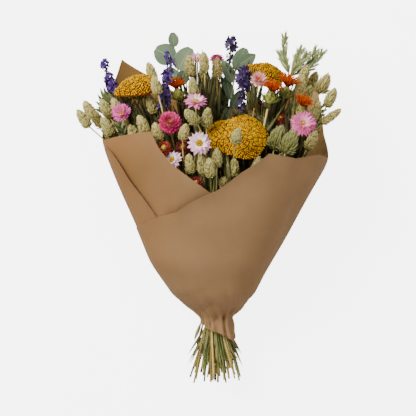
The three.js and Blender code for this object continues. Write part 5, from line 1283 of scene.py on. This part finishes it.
# ---------------------------------------------------------------- leafy stems and oats
# Thin dark olive stems with narrow dry leaves standing off them, and one stem of oats: a loose panicle of slender
# spikelets on fine stalks, two pale green husks each round a smaller one.
own, groups = pieces_of("leafy")
for group in groups:
    members = [p for p in own if p.unit == group]
    leaves, rods = [], []
    for p in members:
        flat = np.degrees(np.arctan2(p.face[1], p.face[0]))
        rods.append(evenly(np.array([p.base - p.face * 2, p.at + p.face * 2]), 12))
        for k in range(9):
            root = p.base + (p.at - p.base) * (0.1 + 0.105 * k) + (0, 0, 0.3)
            side = 1 if k % 2 else -1
            swing = side * (26 + 10 * draw(p.number + k)) * (0.4 if k == 8 else 1)
            ahead, _, up = euler_turn(side * 0.5, 0.15, flat + swing).T
            leaves.append(blades(root, ahead, up, 21 - 1.1 * k, 5.6, 0.62, leaf_shape(0.06, 1, 0.8), bend=-0.35,
                                 cup=0.12, rows=12, sides=8, wave=0.2)[0])
    if group == groups[0]:      # and a fan of leaves that stands out at the bouquet's left
        k = np.arange(18)
        root = members[0].at + np.stack([4 - 4 * (k % 4), 9 - 1.6 * k, 6 + 0 * k], -1)
        leaves += list(blades(root, around(np.radians(100 + 4 * k)), Z, np.linspace(20, 18, 18), 5.2, 0.6,
                              leaf_shape(0.1, 1, 0.8), bend=0.3, cup=0.12, rows=12, sides=8, wave=0.2))
    piece(group + "_leaves", [
        blade_skin(np.array(leaves), olive, [draw(i * 3) for i in range(len(leaves))]),
        skin(tubes(rods, np.linspace(1.1, 0.6, 12), 8, 0.08), brown_green), stem_skin(members, brown_green),
        dry_leaves(members, 12, olive, long=(30, 60), wide=4.5, low=-15, high=70, seed=members[0].number),
    ], group, "dark_leaf")

OAT_RAYS = [
    [(113, 222, 94), (112, 256, 96)], [(130, 220, 88), (138, 237, 90)], [(134, 212, 98), (147, 231, 102)],
    [(146, 212, 86), (160, 236, 88)], [(148, 206, 92), (171, 234, 94)], [(116, 208, 90), (107, 230, 90)],
    [(127, 206, 96), (131, 222, 98)],
]
SPIKELETS = 12
husk, spot = new_finish("oat husks")
lines = (spot.across * 14.0).maths("SINE")
spot.painted((spot.along * 0.5 + spot.tone * 0.5 + lines * 0.12).ramp(
    (0.1, (128, 142, 86)), (0.5, (176, 186, 128)), (0.95, (220, 218, 172))), 0.55, lines, 0.08)
(p,), _ = pieces_of("oats")
curves, husks, stalks = [], [], []
for r, ray in enumerate(OAT_RAYS):
    curve = on_curve([p.at] + [p.at - p.home + point for point in ray], 40)
    curves.append(curve)
    tangent = unit(np.gradient(curve, axis=0))
    for k in range(SPIKELETS):
        spot_at = int((0.16 + 0.84 * (k + 0.95) / SPIKELETS) * 39)
        here, along = curve[spot_at], tangent[spot_at]
        side = unit(np.cross(along, Z)) * (1 if (k + r) % 2 else -1)
        lean = unit(along + side * (0.12 + 0.3 * draw(k + 5 * r)) + Z * 0.2 * ((k % 3) - 1))
        root = here - lean * (3.0 + 4 * (k > 9)) + side * 1.2
        across, long = unit(np.cross(lean, Z)), 16 + 5 * draw(3 * k + r)
        for turned in (-1, 1):
            husks.append(blades(root + across * turned * 0.6, lean + across * 0.1 * turned, across * turned, long, 4.4,
                                1.4, leaf_shape(0.08, 0.9, 0.8), bend=-0.1, cup=-0.15, rows=9)[0])
        husks.append(blades(root + lean * 1.5, lean, Z, long * 0.8, 3.0, 2.2, leaf_shape(0.08, 0.8), rows=9)[0])
        stalks.append(on_curve([here - along * 5, here - along * 2.5 + side * 0.6, root + lean * 0.8], 6))
piece("oat_panicle", [
    blade_skin(np.array(husks), husk, [draw(i) for i in range(len(husks))]), skin(tubes(stalks, 0.4, 5), green),
    skin(tubes(curves, np.linspace(0.9, 0.5, 40), 6), green), stem_skin([p], green),
], "oats", "oats")


# ---------------------------------------------------------------- the tie
# A thin elastic band, wound three times round the bundle where the paper is squeezed.
BAND_RADIUS, BAND_WIRE, BAND_TURNS, BAND_WIDE = 19.2, 1.05, 3, 4.0
band = mottled("elastic tie", 400.0, (170, 150, 100), (206, 186, 134), 0.6)
turns = np.linspace(0, 2 * np.pi * BAND_TURNS, 240)
height = BAND_WIDE * (turns / turns[-1] - 0.5)
loop = TIE + np.stack([BAND_RADIUS * np.cos(turns), height, BAND_RADIUS * np.sin(turns)], -1)
piece("tie_band", [skin(tubes([loop], BAND_WIRE, 8), band)], "stem_binding", "tie")
